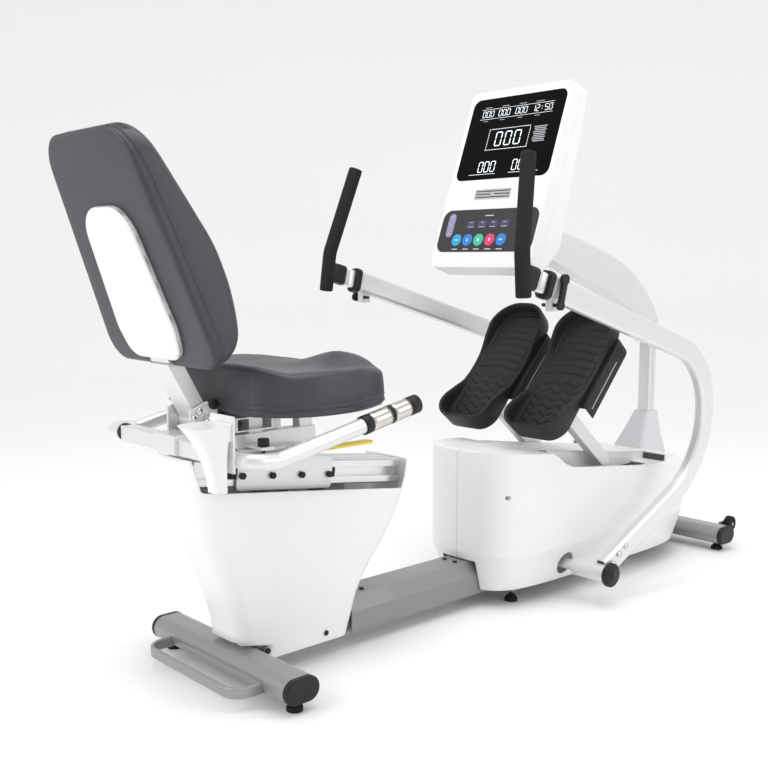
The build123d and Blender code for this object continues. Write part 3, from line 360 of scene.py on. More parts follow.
def mirror_y(points):
    return [(p[0], -p[1], p[2]) for p in points]


def both_sides(name, points, faces, look, body, smooth=True):
    """The right-hand piece as given, and its mirror image for the left."""
    made = [make(f"{name}_right", points, faces, look, f"{body}_right", smooth)]
    flipped = [tuple(reversed(f)) for f in faces]
    made.append(make(f"{name}_left", mirror_y(points), flipped, look, f"{body}_left", smooth))
    return made


def disc_y(x, z, y0, y1, r, edge=1.0, count=28):
    """Turned piece along y with softened rims."""
    stops = [(y0, r - edge), (y0 + (edge if y1 > y0 else -edge), r), (y1 - (edge if y1 > y0 else -edge), r), (y1, r - edge)]
    rings = [[(x + q * cos(2 * pi * i / count), y, z + q * sin(2 * pi * i / count)) for i in range(count)]
             for y, q in stops]
    return skin(rings)


def join(*shapes):
    points, faces = [], []
    for p, f in shapes:
        start = len(points)
        points += list(p)
        faces += [tuple(i + start for i in face) for face in f]
    return points, faces


def resample(ring, count):
    """Evenly spaced points round a closed ring."""
    ring = [Vector(p) for p in ring]
    lengths = [(ring[(i + 1) % len(ring)] - p).length for i, p in enumerate(ring)]
    total = sum(lengths)
    points, i, walked = [], 0, 0.0
    for k in range(count):
        target = total * k / count
        while walked + lengths[i] < target:
            walked += lengths[i]
            i += 1
        t = (target - walked) / max(lengths[i], 1e-9)
        points.append(ring[i].lerp(ring[(i + 1) % len(ring)], t))
    return points


def rounded_loop(corners, radii, step=10):
    """A closed outline with rounded corners, as points in a plane."""
    points = []
    count = len(corners)
    for i in range(count):
        a, b, c = (Vector((*corners[(i + k) % count], 0)) for k in (-1, 0, 1))
        back, ahead = (a - b).normalized(), (c - b).normalized()
        angle = back.angle(ahead)
        reach = radii[i] / math_tan(angle / 2)
        centre = b + (back + ahead).normalized() * (radii[i] / sin(angle / 2))
        u, v = b + back * reach - centre, b + ahead * reach - centre
        turn = u.angle(v)
        for k in range(step + 1):
            t = k / step
            points.append(centre + (u * sin((1 - t) * turn) + v * sin(t * turn)) / sin(turn))
    return points


def curve_value(table, x):
    """Smooth value between the rows of a table of (x, value)."""
    if x <= table[0][0]:
        return table[0][1]
    if x >= table[-1][0]:
        return table[-1][1]
    for k in range(len(table) - 1):
        x0, v0 = table[k]
        x1, v1 = table[k + 1]
        if x <= x1:
            before = table[max(k - 1, 0)]
            after = table[min(k + 2, len(table) - 1)]
            m0 = (v1 - before[1]) / (x1 - before[0]) * (x1 - x0)
            m1 = (after[1] - v0) / (after[0] - x0) * (x1 - x0)
            t = (x - x0) / (x1 - x0)
            return ((2 * t ** 3 - 3 * t * t + 1) * v0 + (t ** 3 - 2 * t * t + t) * m0
                    + (3 * t * t - 2 * t ** 3) * v1 + (t ** 3 - t * t) * m1)
    return table[-1][1]


def smoothstep(a, b, x):
    t = max(0.0, min(1.0, (x - a) / (b - a)))
    return t * t * (3 - 2 * t)


# --- upholstery ---------------------------------------------------------------------------
LEAN = radians(21.1)
BACK_O = Vector((-213, 0, 900))
BACK_U = Vector((-sin(LEAN), 0, cos(LEAN)))
BACK_N = Vector((cos(LEAN), 0, sin(LEAN)))


def on_back(u, y, n):
    p = BACK_O + BACK_U * u + BACK_N * n
    return Vector((p.x, y, p.z))


BACK_DEPTH = ((-232, 52), (-205, 68), (-160, 83), (-115, 93), (-67, 98), (-10, 97), (50, 86), (110, 74), (170, 62),
              (238, 50))


def pillow(outline, middle, levels, surface):
    """Rings from the back face of a cushion, round its side and over its face.

    Each level is (inset, how far from back to front); surface turns plan point and level into space."""
    rings = []
    mx, my = middle
    half_x = max(abs(p.x - mx) for p in outline)
    half_y = max(abs(p.y - my) for p in outline)
    for inset, level in levels:
        kx, ky = 1 - inset / half_x, 1 - inset / half_y
        rings.append([surface(mx + (p.x - mx) * kx, my + (p.y - my) * ky, level, inset) for p in outline])
    return skin(rings)


def side_levels(height, back_r, front_r, seams, crown_steps, reach):
    """Levels in millimetres from the back face: rounded edges, seam grooves and the face."""
    levels = [(back_r + 55, ("back", 0)), (back_r + 20, ("back", 0)), (back_r, ("back", 0))]
    for i in range(1, 6):
        a = pi / 2 * i / 5
        levels.append((back_r * (1 - sin(a)), ("back", back_r * (1 - cos(a)))))
    for at, deep in seams:
        for step, share in ((-3.2, 0), (-1.4, 0.35), (-0.5, 1), (0.5, 1), (1.4, 0.35), (3.2, 0)):
            levels.append((deep * share, ("back", at + step)))
    levels.append((0, ("share", 0.55)))
    for i in range(7):
        a = pi / 2 * i / 6
        levels.append((front_r * (1 - cos(a)), ("front", front_r * (1 - sin(a)))))
    for i in range(1, crown_steps + 1):
        levels.append((front_r + (reach - front_r) * i / crown_steps, ("front", 0)))
    return levels


def back_surface(u, y, level, inset):
    kind, value = level
    depth = curve_value(BACK_DEPTH, u)
    dish = -5 * (1 - min(1, abs(y) / 110) ** 2) * smoothstep(-40, 60, u) if kind == "front" and inset > 20 else 0
    crown = 5 * smoothstep(22, 90, inset) if kind == "front" else 0
    n = {"back": value * min(1, (depth - 25) / 44), "share": depth * value, "front": depth - value}[kind]
    ripple = 1.1 * noise.noise(Vector((u, y, 3)) / 46) if inset > 8 and kind == "front" else 0
    return on_back(u, y, 0.3 + n + crown + dish + ripple)


BACK_LOOP = rounded_loop(((-232, -203), (-232, 203), (238, 156), (238, -156)), (46, 46, 70, 70))
back_ring = resample(BACK_LOOP, 168)
levels = side_levels(0, 9, 24, ((20, 0.9),), 12, 150)
points, faces = pillow(back_ring, (3, 0), levels, back_surface)
backrest = make("backrest_pad", points, faces, VINYL, "backrest")
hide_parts("backrest_cushion")


def seat_plan():
    half = [(-26, 0), (-29, 60), (-30, 118), (-24, 160), (8, 204), (60, 232), (120, 240), (180, 234), (240, 212)]
    half += [(292, 180), (338, 134), (366, 74)]
    ring = half + [(376, 0)] + [(x, -y) for x, y in half[:0:-1]]
    smooth = []
    count = len(ring)
    for i in range(count):
        p = [Vector((*ring[(i + k) % count], 0)) for k in (-1, 0, 1, 2)]
        for k in range(8):
            t = k / 8
            smooth.append(0.5 * (2 * p[1] + (p[2] - p[0]) * t + (2 * p[0] - 5 * p[1] + 4 * p[2] - p[3]) * t * t
                                 + (3 * p[1] - p[0] - 3 * p[2] + p[3]) * t ** 3))
    return resample(smooth, 192)


def seat_top(x, y):
    rear = 20 * smoothstep(40, -30, x)
    hump = 19 * 2.718 ** (-((x - 318) / 62) ** 2 - (y / 62) ** 2)
    troughs = -10 * 2.718 ** (-((x - 330) / 80) ** 2 - ((abs(y) - 118) / 58) ** 2)
    dish = -9 * 2.718 ** (-((x - 150) / 95) ** 2 - (y / 120) ** 2)
    sides = 5 * smoothstep(120, 200, abs(y)) * smoothstep(-20, 80, x) * smoothstep(300, 200, x)
    return 666 + rear + hump + troughs + dish + sides


def seat_surface(x, y, level, inset):
    kind, value = level
    top = seat_top(x, y)
    height = top - 584.2
    n = {"back": value, "share": height * value, "front": height - value}[kind]
    lean = 1 - 0.022 * smoothstep(20, 80, n)
    ripple = 0.9 * noise.noise(Vector((x, y, 9)) / 44) if kind == "front" and inset > 8 else 0
    return Vector((160 + (x - 160) * lean, y * lean, 584.2 + n + ripple))


seat_ring = seat_plan()
levels = side_levels(0, 5, 17, ((13, 1.5), (22, 1.2)), 13, 205)
points, faces = pillow(seat_ring, (160, 0), levels, seat_surface)
seat = make("seat_pad", points, faces, VINYL, "seat")
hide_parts("seat_cushion")


def stitches(name, ring, surface, level, inset, pitch, body, middle):
    """A row of short raised stitches along a cushion's side."""
    mx, my = middle
    half_x = max(abs(p.x - mx) for p in ring)
    half_y = max(abs(p.y - my) for p in ring)
    line = []
    for p in ring:
        line.append(surface(mx + (p.x - mx) * (1 - inset / half_x), my + (p.y - my) * (1 - inset / half_y),
                            ("back", level), 0))
    total = sum((line[(i + 1) % len(line)] - p).length for i, p in enumerate(line))
    spots = resample(line, int(total / pitch))
    shapes = []
    for i in range(len(spots)):
        a, b = spots[i], spots[(i + 1) % len(spots)]
        path = [a.lerp(b, 0.15), a.lerp(b, 0.5), a.lerp(b, 0.8)]
        shapes.append(skin(sweep(path, round_section(0.55, 5), (0.1, 0.2, 1))))
    points, faces = join(*shapes)
    make(name, points, faces, THREAD, body)


stitches("backrest_stitch_a", back_ring, back_surface, 16.2, -0.2, 4.2, "backrest", (3, 0))
stitches("backrest_stitch_b", back_ring, back_surface, 23.8, -0.2, 4.2, "backrest", (3, 0))
stitches("seat_stitch", seat_ring, seat_surface, 17.5, -0.2, 4.2, "seat", (160, 0))


def piping(name, ring, surface, level, inset, r, body, middle):
    """A round welt that follows a seam."""
    mx, my = middle
    half_x = max(abs(p.x - mx) for p in ring)
    half_y = max(abs(p.y - my) for p in ring)
    line = [surface(mx + (p.x - mx) * (1 - inset / half_x), my + (p.y - my) * (1 - inset / half_y),
                    ("back", level), 0) for p in ring]
    rings = []
    count = len(line)
    for i in range(count):
        along = (line[(i + 1) % count] - line[i - 1]).normalized()
        side = along.cross(Vector((0, 0, 1)) if body == "seat" else BACK_N).normalized()
        high = along.cross(side)
        rings.append([line[i] + side * u + high * v for u, v in round_section(r, 8)])
    points, faces = skin(rings + [rings[0]], closed_ends=False)
    make(name, points, faces, VINYL, body)


piping("seat_welt", seat_ring, seat_surface, 5.5, 0.4, 2.0, "seat", (160, 0))
piping("backrest_welt", back_ring, back_surface, 9.0, 0.6, 1.8, "backrest", (3, 0))


def panel_surface(u, y, level, inset):
    kind, value = level
    height = 12.5
    n = {"back": value, "share": height * value, "front": height - value}[kind]
    crown = 4.0 * smoothstep(2, 60, inset) if kind == "front" else 0
    return on_back(u, y, -n - crown)


panel_loop = rounded_loop(((-214, -92), (-214, 92), (-150, 108), (98, 84), (98, -84), (-150, -108)),
                          (42, 42, 60, 66, 66, 60))
panel_ring = resample(panel_loop, 128)
levels = [(0, ("back", 0.2)), (0, ("share", 0.3)), (0, ("share", 0.6))]
for i in range(7):
    a = pi / 2 * i / 6
    levels.append((6 * (1 - cos(a)), ("front", 6 * (1 - sin(a)))))
levels += [(14, ("front", 0)), (30, ("front", 0)), (50, ("front", 0)), (72, ("front", 0))]
points, faces = pillow(panel_ring, (-58, 0), levels, panel_surface)
faces = [tuple(reversed(f)) for f in faces]
panel = make("backrest_cover", points, faces, WHITE, "backrest")
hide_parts("backrest_panel")


# --- rear hood ----------------------------------------------------------------------------
HOOD = {"rear": ((38, 56), (77.5, 56), (78.5, 3), (110, -4), (150, -16), (200, -34), (264, -56), (330, -82), (397, -104),
                 (460, -116), (520, -121)),
        "front": ((38, 300), (76, 316), (110, 326), (143, 338), (200, 372), (250, 410), (310, 446), (380, 474),
                  (432, 483), (520, 486)),
        "half": ((38, 59.5), (76, 60), (143, 67), (250, 78), (380, 87), (520, 88)),
        "corner": ((38, 26), (76, 30), (150, 38), (250, 44), (380, 48), (520, 48))}


def rail_line(x, h):
    return 430 + (182 - x) * math_tan(radians(7)) + h


def hood_ring(z, inset):
    x0, x1 = curve_value(HOOD["rear"], z) + inset, curve_value(HOOD["front"], z) - inset
    half, corner = curve_value(HOOD["half"], z) - inset, curve_value(HOOD["corner"], z) - inset
    loop = rounded_loop(((x0, -half), (x1, -half), (x1, half), (x0, half)), (corner,) * 4, 14)
    return loop


def hood_mesh():
    """The hood's wall: open at the top, cut down along both sides so that the rail shows."""
    plan = []
    base = hood_ring(400, 0)
    for i, p in enumerate(base):
        q = base[(i + 1) % len(base)]
        plan += [(i, k / 12) for k in range(12)] if (q - p).length > 60 else [(i, 0.0)]

    def at(index, share, z, inset):
        ring = hood_ring(z, inset)
        p = ring[index].lerp(ring[(index + 1) % len(ring)], share)
        return Vector((p.x, p.y, z))

    tops = []
    for index, share in plan:
        p = at(index, share, 440, 0)
        side = smoothstep(-106, -98, p.x) * smoothstep(470, 462, p.x)
        tops.append(rail_line(p.x, 30 - 65 * side))
    outer, inner = [], []
    levels = 26
    for k in range(levels + 1):
        t = k / levels
        outer.append([at(i, s, 38 + (top - 38) * t, 0) for (i, s), top in zip(plan, tops)])
        inner.append([at(i, s, 38 + (top - 38) * t, 3) for (i, s), top in zip(plan, tops)])
    rim = [[a.lerp(b, 0.25) + Vector((0, 0, 0.9)) for a, b in zip(outer[-1], inner[-1])],
           [a.lerp(b, 0.75) + Vector((0, 0, 0.9)) for a, b in zip(outer[-1], inner[-1])]]
    rings = outer + rim + inner[::-1] + [outer[0]]
    return skin(rings, closed_ends=False)


points, faces = hood_mesh()
hood = make("hood_skin", points, faces, WHITE, "frame")
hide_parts("rear_hood")


# --- footplates ---------------------------------------------------------------------------
SOLE = radians(48)


def on_sole(s, y, n, side):
    return Vector((879 + s * cos(SOLE) - n * sin(SOLE), side * 119 + y, 429 + s * sin(SOLE) + n * cos(SOLE)))


RIM = ((0, 62), (60, 60), (105, 42), (150, 23), (235, 21), (300, 38), (345, 47), (409, 50))


def sole_half(s):
    """Half width of the footplate at a distance from the heel."""
    if s < 50:
        return 38 + max(0.0, 50 ** 2 - (50 - s) ** 2) ** 0.5
    if s > 329:
        return 12 + max(0.0, 80 ** 2 - (s - 329) ** 2) ** 0.5
    return 88 + 4 * (s - 50) / 279 - 3 * sin(pi * (s - 50) / 279)


def sole_loop(count=132):
    stations = [409 * (0.5 - 0.5 * cos(pi * i / (count // 2))) for i in range(count // 2 + 1)]
    ring = [Vector((s, -sole_half(s), 0)) for s in stations] + [Vector((s, sole_half(s), 0)) for s in stations[::-1]]
    return resample(ring, count)


def sole_inset(ring, inset):
    out = []
    count = len(ring)
    for i in range(count):
        along = (ring[(i + 1) % count] - ring[i - 1]).normalized()
        out.append(ring[i] + Vector((-along.y, along.x, 0)) * inset)
    return out


def tray(side):
    """Heel cup, low sides and toe wall of a footplate, as one closed skin."""
    ring = sole_loop()
    stack = [(14, 0.0, 0), (5, 0.0, 0), (1.5, 1.5, 0), (0, 5.0, 0), (-1, 0.5, 1), (-2, 0.93, 1), (-1, 0.985, 1),
             (2, 1.0, 1), (5, 0.985, 1), (6.5, 0.93, 1), (8, 0.5, 1), (9, 14.5, 0), (12, 13.2, 0), (16, 13.2, 0)]
    rings = []
    for inset, level, shared in stack:
        loop = sole_inset(ring, inset)
        heights = [level * curve_value(RIM, max(0, min(409, q.x))) if shared else level for q in ring]
        rings.append([on_sole(p.x, p.y, max(h, 13.4) if shared and inset > 0 else h, side)
                      for p, h in zip(loop, heights)])
    points, faces = skin(rings)
    return points, [tuple(reversed(f)) for f in faces]


def tread_depth(s, y, edge):
    """Depth of the moulded grooves at a point of the sole; edge is the distance to its border."""
    deep = 0.0
    for k in range(7):
        line = 205 + 25 * k - 9 * (y / 70) ** 2
        deep = max(deep, 3.2 * (1 - smoothstep(0.6, 2.8, abs(s - line))))
    for k in range(6):
        wave = abs(((y + 70) % 46) - 23) * 0.62
        deep = max(deep, 3.2 * (1 - smoothstep(0.6, 2.8, abs(s - (36 + 25 * k + wave)))))
    inside = smoothstep(9, 11, edge)
    border = 2.6 * (1 - smoothstep(0.8, 2.6, abs(edge - 7.5)))
    return max(deep * inside, border)


def tread(side):
    rows, columns = 300, 84
    points, faces = [], []
    for i in range(rows + 1):
        s = 10.0 + (409 - 20) * i / rows
        half = max(6.0, sole_half(s) - 9.5)
        if s < 50:
            half = 38 + max(0.0, 40 ** 2 - (50 - s) ** 2) ** 0.5
        elif s > 329:
            half = 12 + max(0.0, 70 ** 2 - (s - 329) ** 2) ** 0.5
        for j in range(columns + 1):
            y = half * (2 * j / columns - 1)
            edge = min(half - abs(y), s - 10, 399 - s)
            points.append(on_sole(s, y, 16.4 - tread_depth(s, y, edge), side))
    for i in range(rows):
        for j in range(columns):
            a = i * (columns + 1) + j
            faces.append((a, a + 1, a + columns + 2, a + columns + 1))
    return points, [tuple(reversed(f)) for f in faces]


def rack(side):
    """Skirt under the sole: a web round the tray and a wall on each side and in front."""
    def outline(inset):
        y = 105 - inset
        return resample(rounded_loop(((112 + inset, -y), (345 - inset, -y), (345 - inset, y), (112 + inset, y)),
                                     (3, 30 - inset * 0.5, 30 - inset * 0.5, 3), 8), 96)

    web = [[on_sole(p.x, p.y, n, side) for p in outline(inset)] for inset, n in ((0, -1), (0, 2), (1.2, 4.8), (4, 6))]
    wall = [Vector((112, -103, 0)), Vector((315, -103, 0))]
    wall += [Vector((315 + 28 * sin(pi / 2 * k / 8), -103 + 28 * (1 - cos(pi / 2 * k / 8)), 0)) for k in range(1, 9)]
    wall += [Vector((p.x, -p.y, 0)) for p in wall[::-1]]
    rings = []
    for k, p in enumerate(wall):
        along = (wall[min(k + 1, len(wall) - 1)] - wall[max(k - 1, 0)]).normalized()
        across = Vector((-along.y, along.x, 0))
        rings.append([on_sole((p + across * u).x, (p + across * u).y, n, side)
                      for u, n in ((-2, -39), (-1.2, -40), (1.2, -40), (2, -39), (2, -0.5), (-2, -0.5))])
    return join(skin(web), skin(rings))


def rack_teeth(side):
    shapes = []
    for edge in (-1, 1):
        for k in range(34):
            s = 128 + 4.5 * k
            ring = ((-1.4, -1.5), (1.4, -1.5), (1.4, 1.5), (-1.4, 1.5))
            shapes.append(skin([[on_sole(s + ds, edge * depth, dn - 18, side) for ds, dn in ring]
                                for depth in (104.6, 105.5)]))
    return join(*shapes)


for side, sign in (("right", -1), ("left", 1)):
    body = f"pedal_{side}"
    points, faces = tray(sign)
    made = make(f"foot_tray_{side}", points, faces, TREAD, body)
    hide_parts(f"footplate_{side}")
    points, faces = tread(sign)
    make(f"foot_tread_{side}", points, faces, TREAD, body)
    points, faces = rack(sign)
    make(f"foot_rack_{side}", points, faces, TREAD, body, smooth=False)
    points, faces = rack_teeth(sign)
    make(f"foot_teeth_{side}", points, faces, PRINT, body, smooth=False)


# --- hand grips and arm ends --------------------------------------------------------------
ARM_DIR = Vector((-0.9579, -0.0250, 0.2859))
ARM_END = Vector((650, -254 - 838 * sin(radians(5)), 838 * cos(radians(5))))
ARM_SIDE = Vector((0, cos(radians(5)), sin(radians(5))))


def along_arm(d, section, rot=ARM_SIDE):
    high = ARM_DIR.cross(rot)
    p = ARM_END + ARM_DIR * d
    return [p + rot * u + high * v for u, v in section]


grip_path = rounded_path(((562, -339, 812), (567, -329, 908), (626, -293, 1122)), 90)
dense = []
for a, b in zip(grip_path, grip_path[1:]):
    steps = max(1, int((b - a).length / 12))
    dense += [a.lerp(b, k / steps) for k in range(steps)]
dense.append(grip_path[-1])
rings = sweep(dense, round_section(17.6, 28), (0, 1, 0))


def capped(rings, r):
    """The rings with a soft end added at both ends."""
    first, last = rings[0], rings[-1]
    c0, c1 = sum(first, Vector()) / len(first), sum(last, Vector()) / len(last)
    d0, d1 = (c0 - sum(rings[1], Vector()) / len(first)).normalized(), (c1 - sum(rings[-2], Vector()) / len(last)).normalized()
    head, tail = [], []
    for i in range(1, 5):
        a = pi / 2 * i / 5
        k = 1 - r * (1 - cos(a)) / (first[0] - c0).length
        head.append([c0 + (p - c0) * k + d0 * r * sin(a) for p in first])
        tail.append([c1 + (p - c1) * k + d1 * r * sin(a) for p in last])
    return head[::-1] + rings + tail


points, faces = skin(capped(rings, 5))
for made in both_sides("grip_foam", points, faces, FOAM, "handgrip"):
    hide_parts(made.name.replace("grip_foam", "handgrip"))
stack = [(86, 20, 40, 8), (84, 26, 47, 9), (70, 29, 51, 10), (50, 29, 53, 10), (41, 27, 52, 9), (40, 24, 49, 8)]
rings = [along_arm(d, box_section(w, t, r)) for d, w, t, r in stack]
points, faces = skin(rings)
both_sides("grip_block", points, faces, BLACK, "handgrip")
rings = [along_arm(d, box_section(22, 48, 5)) for d in (44, 10, -60, -150)]
points, faces = skin(rings)
both_sides("grip_inner_tube", points, faces, ALU, "handgrip")
rings = []
for d, w, t, r in ((-12, 30.6, 56.6, 9), (-12, 36, 62, 12), (-10, 39, 65, 13), (3, 39, 65, 13), (6, 36, 62, 12), (6, 24, 50, 6), (-2, 24, 50, 6)):
    rings.append(along_arm(d, box_section(w, t, r)))
points, faces = skin(rings, closed_ends=False)
both_sides("arm_collar", points, faces, BLACK, "arm")
points, faces = join(disc_y(978, 88, -285, -302, 31, 3), disc_y(978, 88, -300, -304, 10, 1.5))
both_sides("arm_pivot_cap", points, faces, BLACK, "arm")
points, faces = join(disc_y(1030, 130, -281, -286, 8, 1), disc_y(1058, 146, -281, -286, 8, 1), disc_y(1000, 112, -282, -292, 7, 1))
both_sides("arm_bolts", points, faces, ZINC, "arm")

for side, sign in (("right", -1), ("left", 1)):
    body = f"seat_handle_{side}"
    y = 265 * sign
    start, end = Vector((-50, y, 517)), Vector((300, y, 590))
    axis = (end - start).normalized()
    shapes = []
    for a, b in ((0.655, 0.80), (0.825, 0.955)):
        stations = [a + (b - a) * k / 6 for k in range(7)]
        outer = [[start.lerp(end, t) + Vector((0, cos(q), 0)) * 19.1 + axis.cross(Vector((0, 1, 0))) * 19.1 * sin(q)
                  for q in [2 * pi * i / 32 for i in range(32)]] for t in stations]
        shapes.append(skin(outer))
    points, faces = join(*shapes)
    make(f"pulse_plates_{side}", points, faces, STAINLESS, body)
    shapes = []
    for a, b, r in ((0.60, 0.655, 19.6), (0.80, 0.825, 19.6), (0.955, 1.03, 19.8)):
        soft = 1.2 / (end - start).length
        rings = []
        for t, q in ((a, r - 1.2), (a + soft, r), (b - soft, r), (b, r - 1.5)):
            centre = start.lerp(end, t)
            rings.append([centre + Vector((0, cos(w), 0)) * q + axis.cross(Vector((0, 1, 0))) * q * sin(w)
                          for w in [2 * pi * i / 32 for i in range(32)]])
        shapes.append(skin(rings))
    points, faces = join(*shapes)
    make(f"pulse_bands_{side}", points, faces, BLACK, body)
    points, faces = disc_y(-110, 522, sign * 193.5, sign * 206, 19, 1.5)
    make(f"handle_collar_{side}", points, faces, BLACK, body)


# --- console graphics ---------------------------------------------------------------------
TILT = radians(20)


def on_face(u, y, n):
    return Vector((942 + u * sin(TILT) - n * cos(TILT), y, 1316 + u * cos(TILT) + n * sin(TILT)))


def slab(u0, u1, y0, y1, low, high):
    """A thin raised rectangle on the console's face."""
    ring = ((u0, y0), (u1, y0), (u1, y1), (u0, y1))
    return skin([[on_face(u, y, low) for u, y in ring], [on_face(u, y, high) for u, y in ring]])


SEGMENTS = {"0": "abcdef", "1": "bc", "2": "abged", "5": "afgcd"}
BARS = {"a": (0.94, 1.0, 0.12, 0.88), "g": (0.47, 0.53, 0.12, 0.88), "d": (0.0, 0.06, 0.12, 0.88),
        "f": (0.54, 0.93, 0.0, 0.12), "b": (0.54, 0.93, 0.88, 1.0), "e": (0.07, 0.46, 0.0, 0.12),
        "c": (0.07, 0.46, 0.88, 1.0)}


def digits(text, u, y, tall, wide, gap):
    """Seven-segment characters; y is the left edge and the row runs to the user's right."""
    shapes = []
    for k, char in enumerate(text):
        left = y - k * (wide + gap)
        for key in SEGMENTS.get(char, ""):
            lo, hi, a, b = BARS[key]
            shapes.append(slab(u + tall * lo, u + tall * hi, left - wide * b, left - wide * a, 0.55, 0.85))
        if char == ":":
            for share in (0.3, 0.65):
                shapes.append(slab(u + tall * share, u + tall * (share + 0.06), left - wide * 0.6, left - wide * 0.35, 0.55, 0.85))
    return shapes


shapes = []
for y in (116, 60, 2):
    shapes += digits("000", -54, y, 18, 11, 3)
shapes += digits("12:50", -54, -52, 18, 11, 3)
shapes += [slab(-31.6, -31, -122, 122, 0.55, 0.85), slab(-59.6, -59, -122, 122, 0.55, 0.85)]
shapes += digits("000", -212, 84, 30, 16, 5) + digits("000", -212, -32, 30, 16, 5)
shapes += [slab(-218, -217.2, 20, 112, 0.55, 0.85), slab(-218, -217.2, -122, -24, 0.55, 0.85)]
for k in range(27):
    y = 76 - k * 5.2
    shapes += [slab(-92, -90.4, y - 2.6, y, 0.55, 0.85), slab(-150, -148.4, y - 2.6, y, 0.55, 0.85)]
for k in range(11):
    u = -95 - k * 5.2
    shapes += [slab(u - 2.6, u, 74.4, 76, 0.55, 0.85), slab(u - 2.6, u, -64, -62.4, 0.55, 0.85)]
shapes += digits("000", -140, 49, 40, 22, 10)
points, faces = join(*shapes)
make("display_digits", points, faces, DIGIT, "frame", smooth=False)

shapes = []
for y0, y1 in ((112, 88), (54, 30), (-6, -30), (-62, -88)):
    shapes += [slab(-26.6, -25, y1, y0, 0.55, 0.75), slab(-66, -64.6, y1 + 4, y0 - 4, 0.55, 0.75)]
for k in range(9):
    shapes.append(slab(-98 - 5 * k, -95.6 - 5 * k, -118 + 3 * (k % 2), -76 - 2 * (k % 3), 0.55, 0.75))
points, faces = join(*shapes)
make("display_labels", points, faces, LABEL, "frame", smooth=False)


def pad_on_face(u0, u1, y0, y1, r, low, high):
    """A thin rounded plate on the console's face."""
    ring = resample(rounded_loop(((u0, y0), (u1, y0), (u1, y1), (u0, y1)), (r, r, r, r), 4), 28)
    small = [Vector(((p.x - (u0 + u1) / 2) * 0.97, (p.y - (y0 + y1) / 2) * 0.97, 0)) for p in ring]
    top = [Vector((p.x + (u0 + u1) / 2, p.y + (y0 + y1) / 2, 0)) for p in small]
    return skin([[on_face(p.x, p.y, low) for p in ring], [on_face(p.x, p.y, high - 0.2) for p in ring],
                 [on_face(p.x, p.y, high) for p in top]])


points, faces = join(*[pad_on_face(-368, -347, y - 14, y + 14, 2, 0.5, 1.2) for y in (56, 18, -20, -58)])
make("membrane_keys", points, faces, KEY_DIM, "frame", smooth=False)
shapes = [slab(-365, -363.8, y - 9, y + 9, 1.2, 1.35) for y in (56, 18, -20, -58)]
shapes += [slab(-353, -351.8, y - 5, y + 5, 1.2, 1.35) for y in (56, 18, -20, -58)]
shapes += [slab(-426, -423.6, y - 10, y + 10, 0.5, 0.7) for y in (95, 56.5, 18, -20.5, -59)]
shapes.append(slab(-335, -332.6, -14, 14, 0.5, 0.7))
points, faces = join(*shapes)
make("panel_print", points, faces, PRINT, "frame", smooth=False)
# Painted shade: thin black strips set about 3 mm behind the face in the vent slots stand in for the shade inside the
# housing.
points, faces = join(*[slab(-275.7 + 8 * row, -272.3 + 8 * row, -48, 66, -3.4, -2.6) for row in (-1, 0, 1)])
make("vent_painted_shade", points, faces, BLACK, "frame", smooth=False)
shapes = [slab(-274 + u - 1.4, -274 + u + 1.4, -51, 69, 0.1, 1.4) for u in (-12, -4, 4, 12)]
shapes += [slab(-287, -261, y - 1.4, y + 1.4, 0.1, 1.4) for y in (-50, 68)]
shapes.append(slab(-279, -269, 3, 15, 0.1, 1.6))
points, faces = join(*shapes)
make("vent_bars", points, faces, ALU, "frame", smooth=False)
for k, name in enumerate(("quick_start_key", "enter_key", "start_key", "stop_key", "clear_key")):
    y = 95 - 38.5 * k
    tall, wide = ((3, 12), (9, 4), (8, 8), (8, 6), (4, 10))[k]
    points, faces = slab(-400 - tall / 2, -400 + tall / 2, y - wide / 2, y + wide / 2, 1.9, 2.3)
    make(f"{name}_mark", points, faces, PRINT, name, smooth=False)
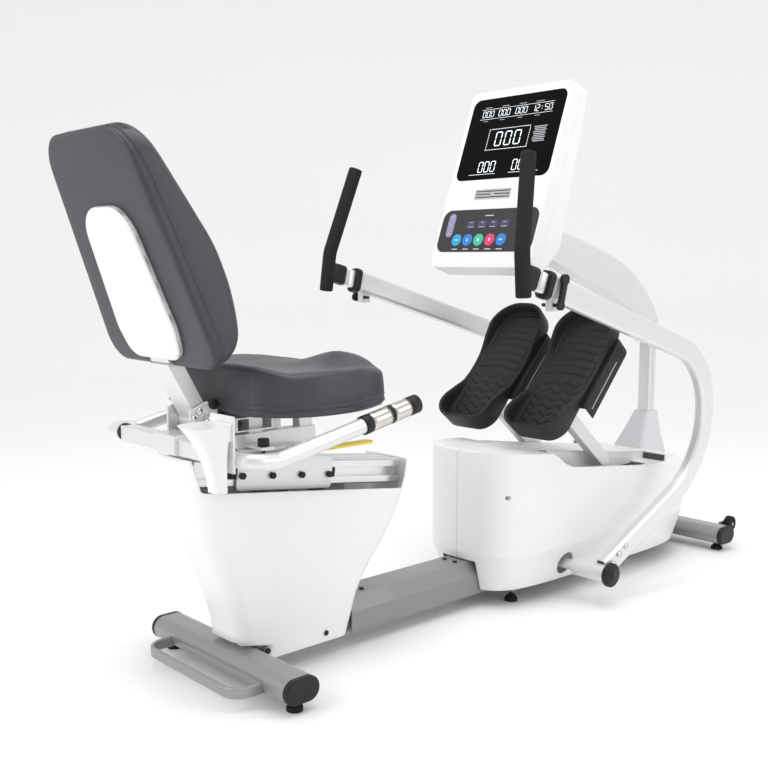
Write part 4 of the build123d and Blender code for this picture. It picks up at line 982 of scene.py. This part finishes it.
for name, y in (("rocker_key_left", 128), ("rocker_key_right", -128)):
    shapes = [slab(u - 0.8, u + 0.8, y - 4, y + 4, 1.9, 2.3) for u in (-336, -359, -382)]
    shapes.append(slab(-340, -332, y - 0.8, y + 0.8, 1.9, 2.3))
    points, faces = join(*shapes)
    make(f"{name}_mark", points, faces, PRINT, name, smooth=False)


# --- seat brackets and small hardware -----------------------------------------------------
shapes = [disc_y(-62, 566, -53, -64, 13, 2), disc_y(-62, 566, -64, -70, 8, 1.5), disc_y(-96, 575, -45.5, -52, 8, 1.5),
          disc_y(-80, 590, -45.5, -51, 7, 1.5)]
points, faces = join(*shapes)
make("recline_bolts", points, faces, ZINC, "seat")
points, faces = join(disc_y(-46, 602, -34.5, -50, 11, 1.5))
make("recline_boss", points, faces, BLACK, "backrest")


# --- stage --------------------------------------------------------------------------------
def add_floor():
    """A pale studio floor that curves up far behind the machine."""
    rings = []
    for reach, rise in ((0.0, 0.0), (2.0, 0.0), (4.0, 0.0), (5.0, 0.02), (5.8, 0.15), (6.5, 0.5), (7.0, 1.1), (7.3, 2.0),
                        (7.4, 3.4), (7.4, 6.0)):
        rings.append((reach, rise))
    away = radians(47.654)
    points, faces, columns = [], [], 48
    for reach, rise in rings:
        for k in range(columns + 1):
            a = away - radians(80) + radians(160) * k / columns
            points.append(Vector((reach * cos(a) - 2.2 * cos(away), reach * sin(a) - 2.2 * sin(away), rise - 0.0005)))
    for r in range(len(rings) - 1):
        for k in range(columns):
            a = r * (columns + 1) + k
            faces.append((a, a + columns + 1, a + columns + 2, a + 1))
    base = len(points)
    points += [Vector((x, y, -0.001)) for x, y in ((-9, -9), (9, -9), (9, 9), (-9, 9))]
    faces.append((base, base + 1, base + 2, base + 3))
    data = bpy.data.meshes.new("floor")
    data.from_pydata(points, [], faces)
    for polygon in data.polygons:
        polygon.use_smooth = True
    floor = bpy.data.objects.new("floor", data)
    shade = Shade("floor_look", (0.94, 0.94, 0.94), 0.6)
    shade.vary_rough(shade.noise(2), 0.05)
    shade.vary_colour(shade.noise(1.2), 0.006)
    data.materials.append(shade.material)
    bpy.context.scene.collection.objects.link(floor)


add_floor()
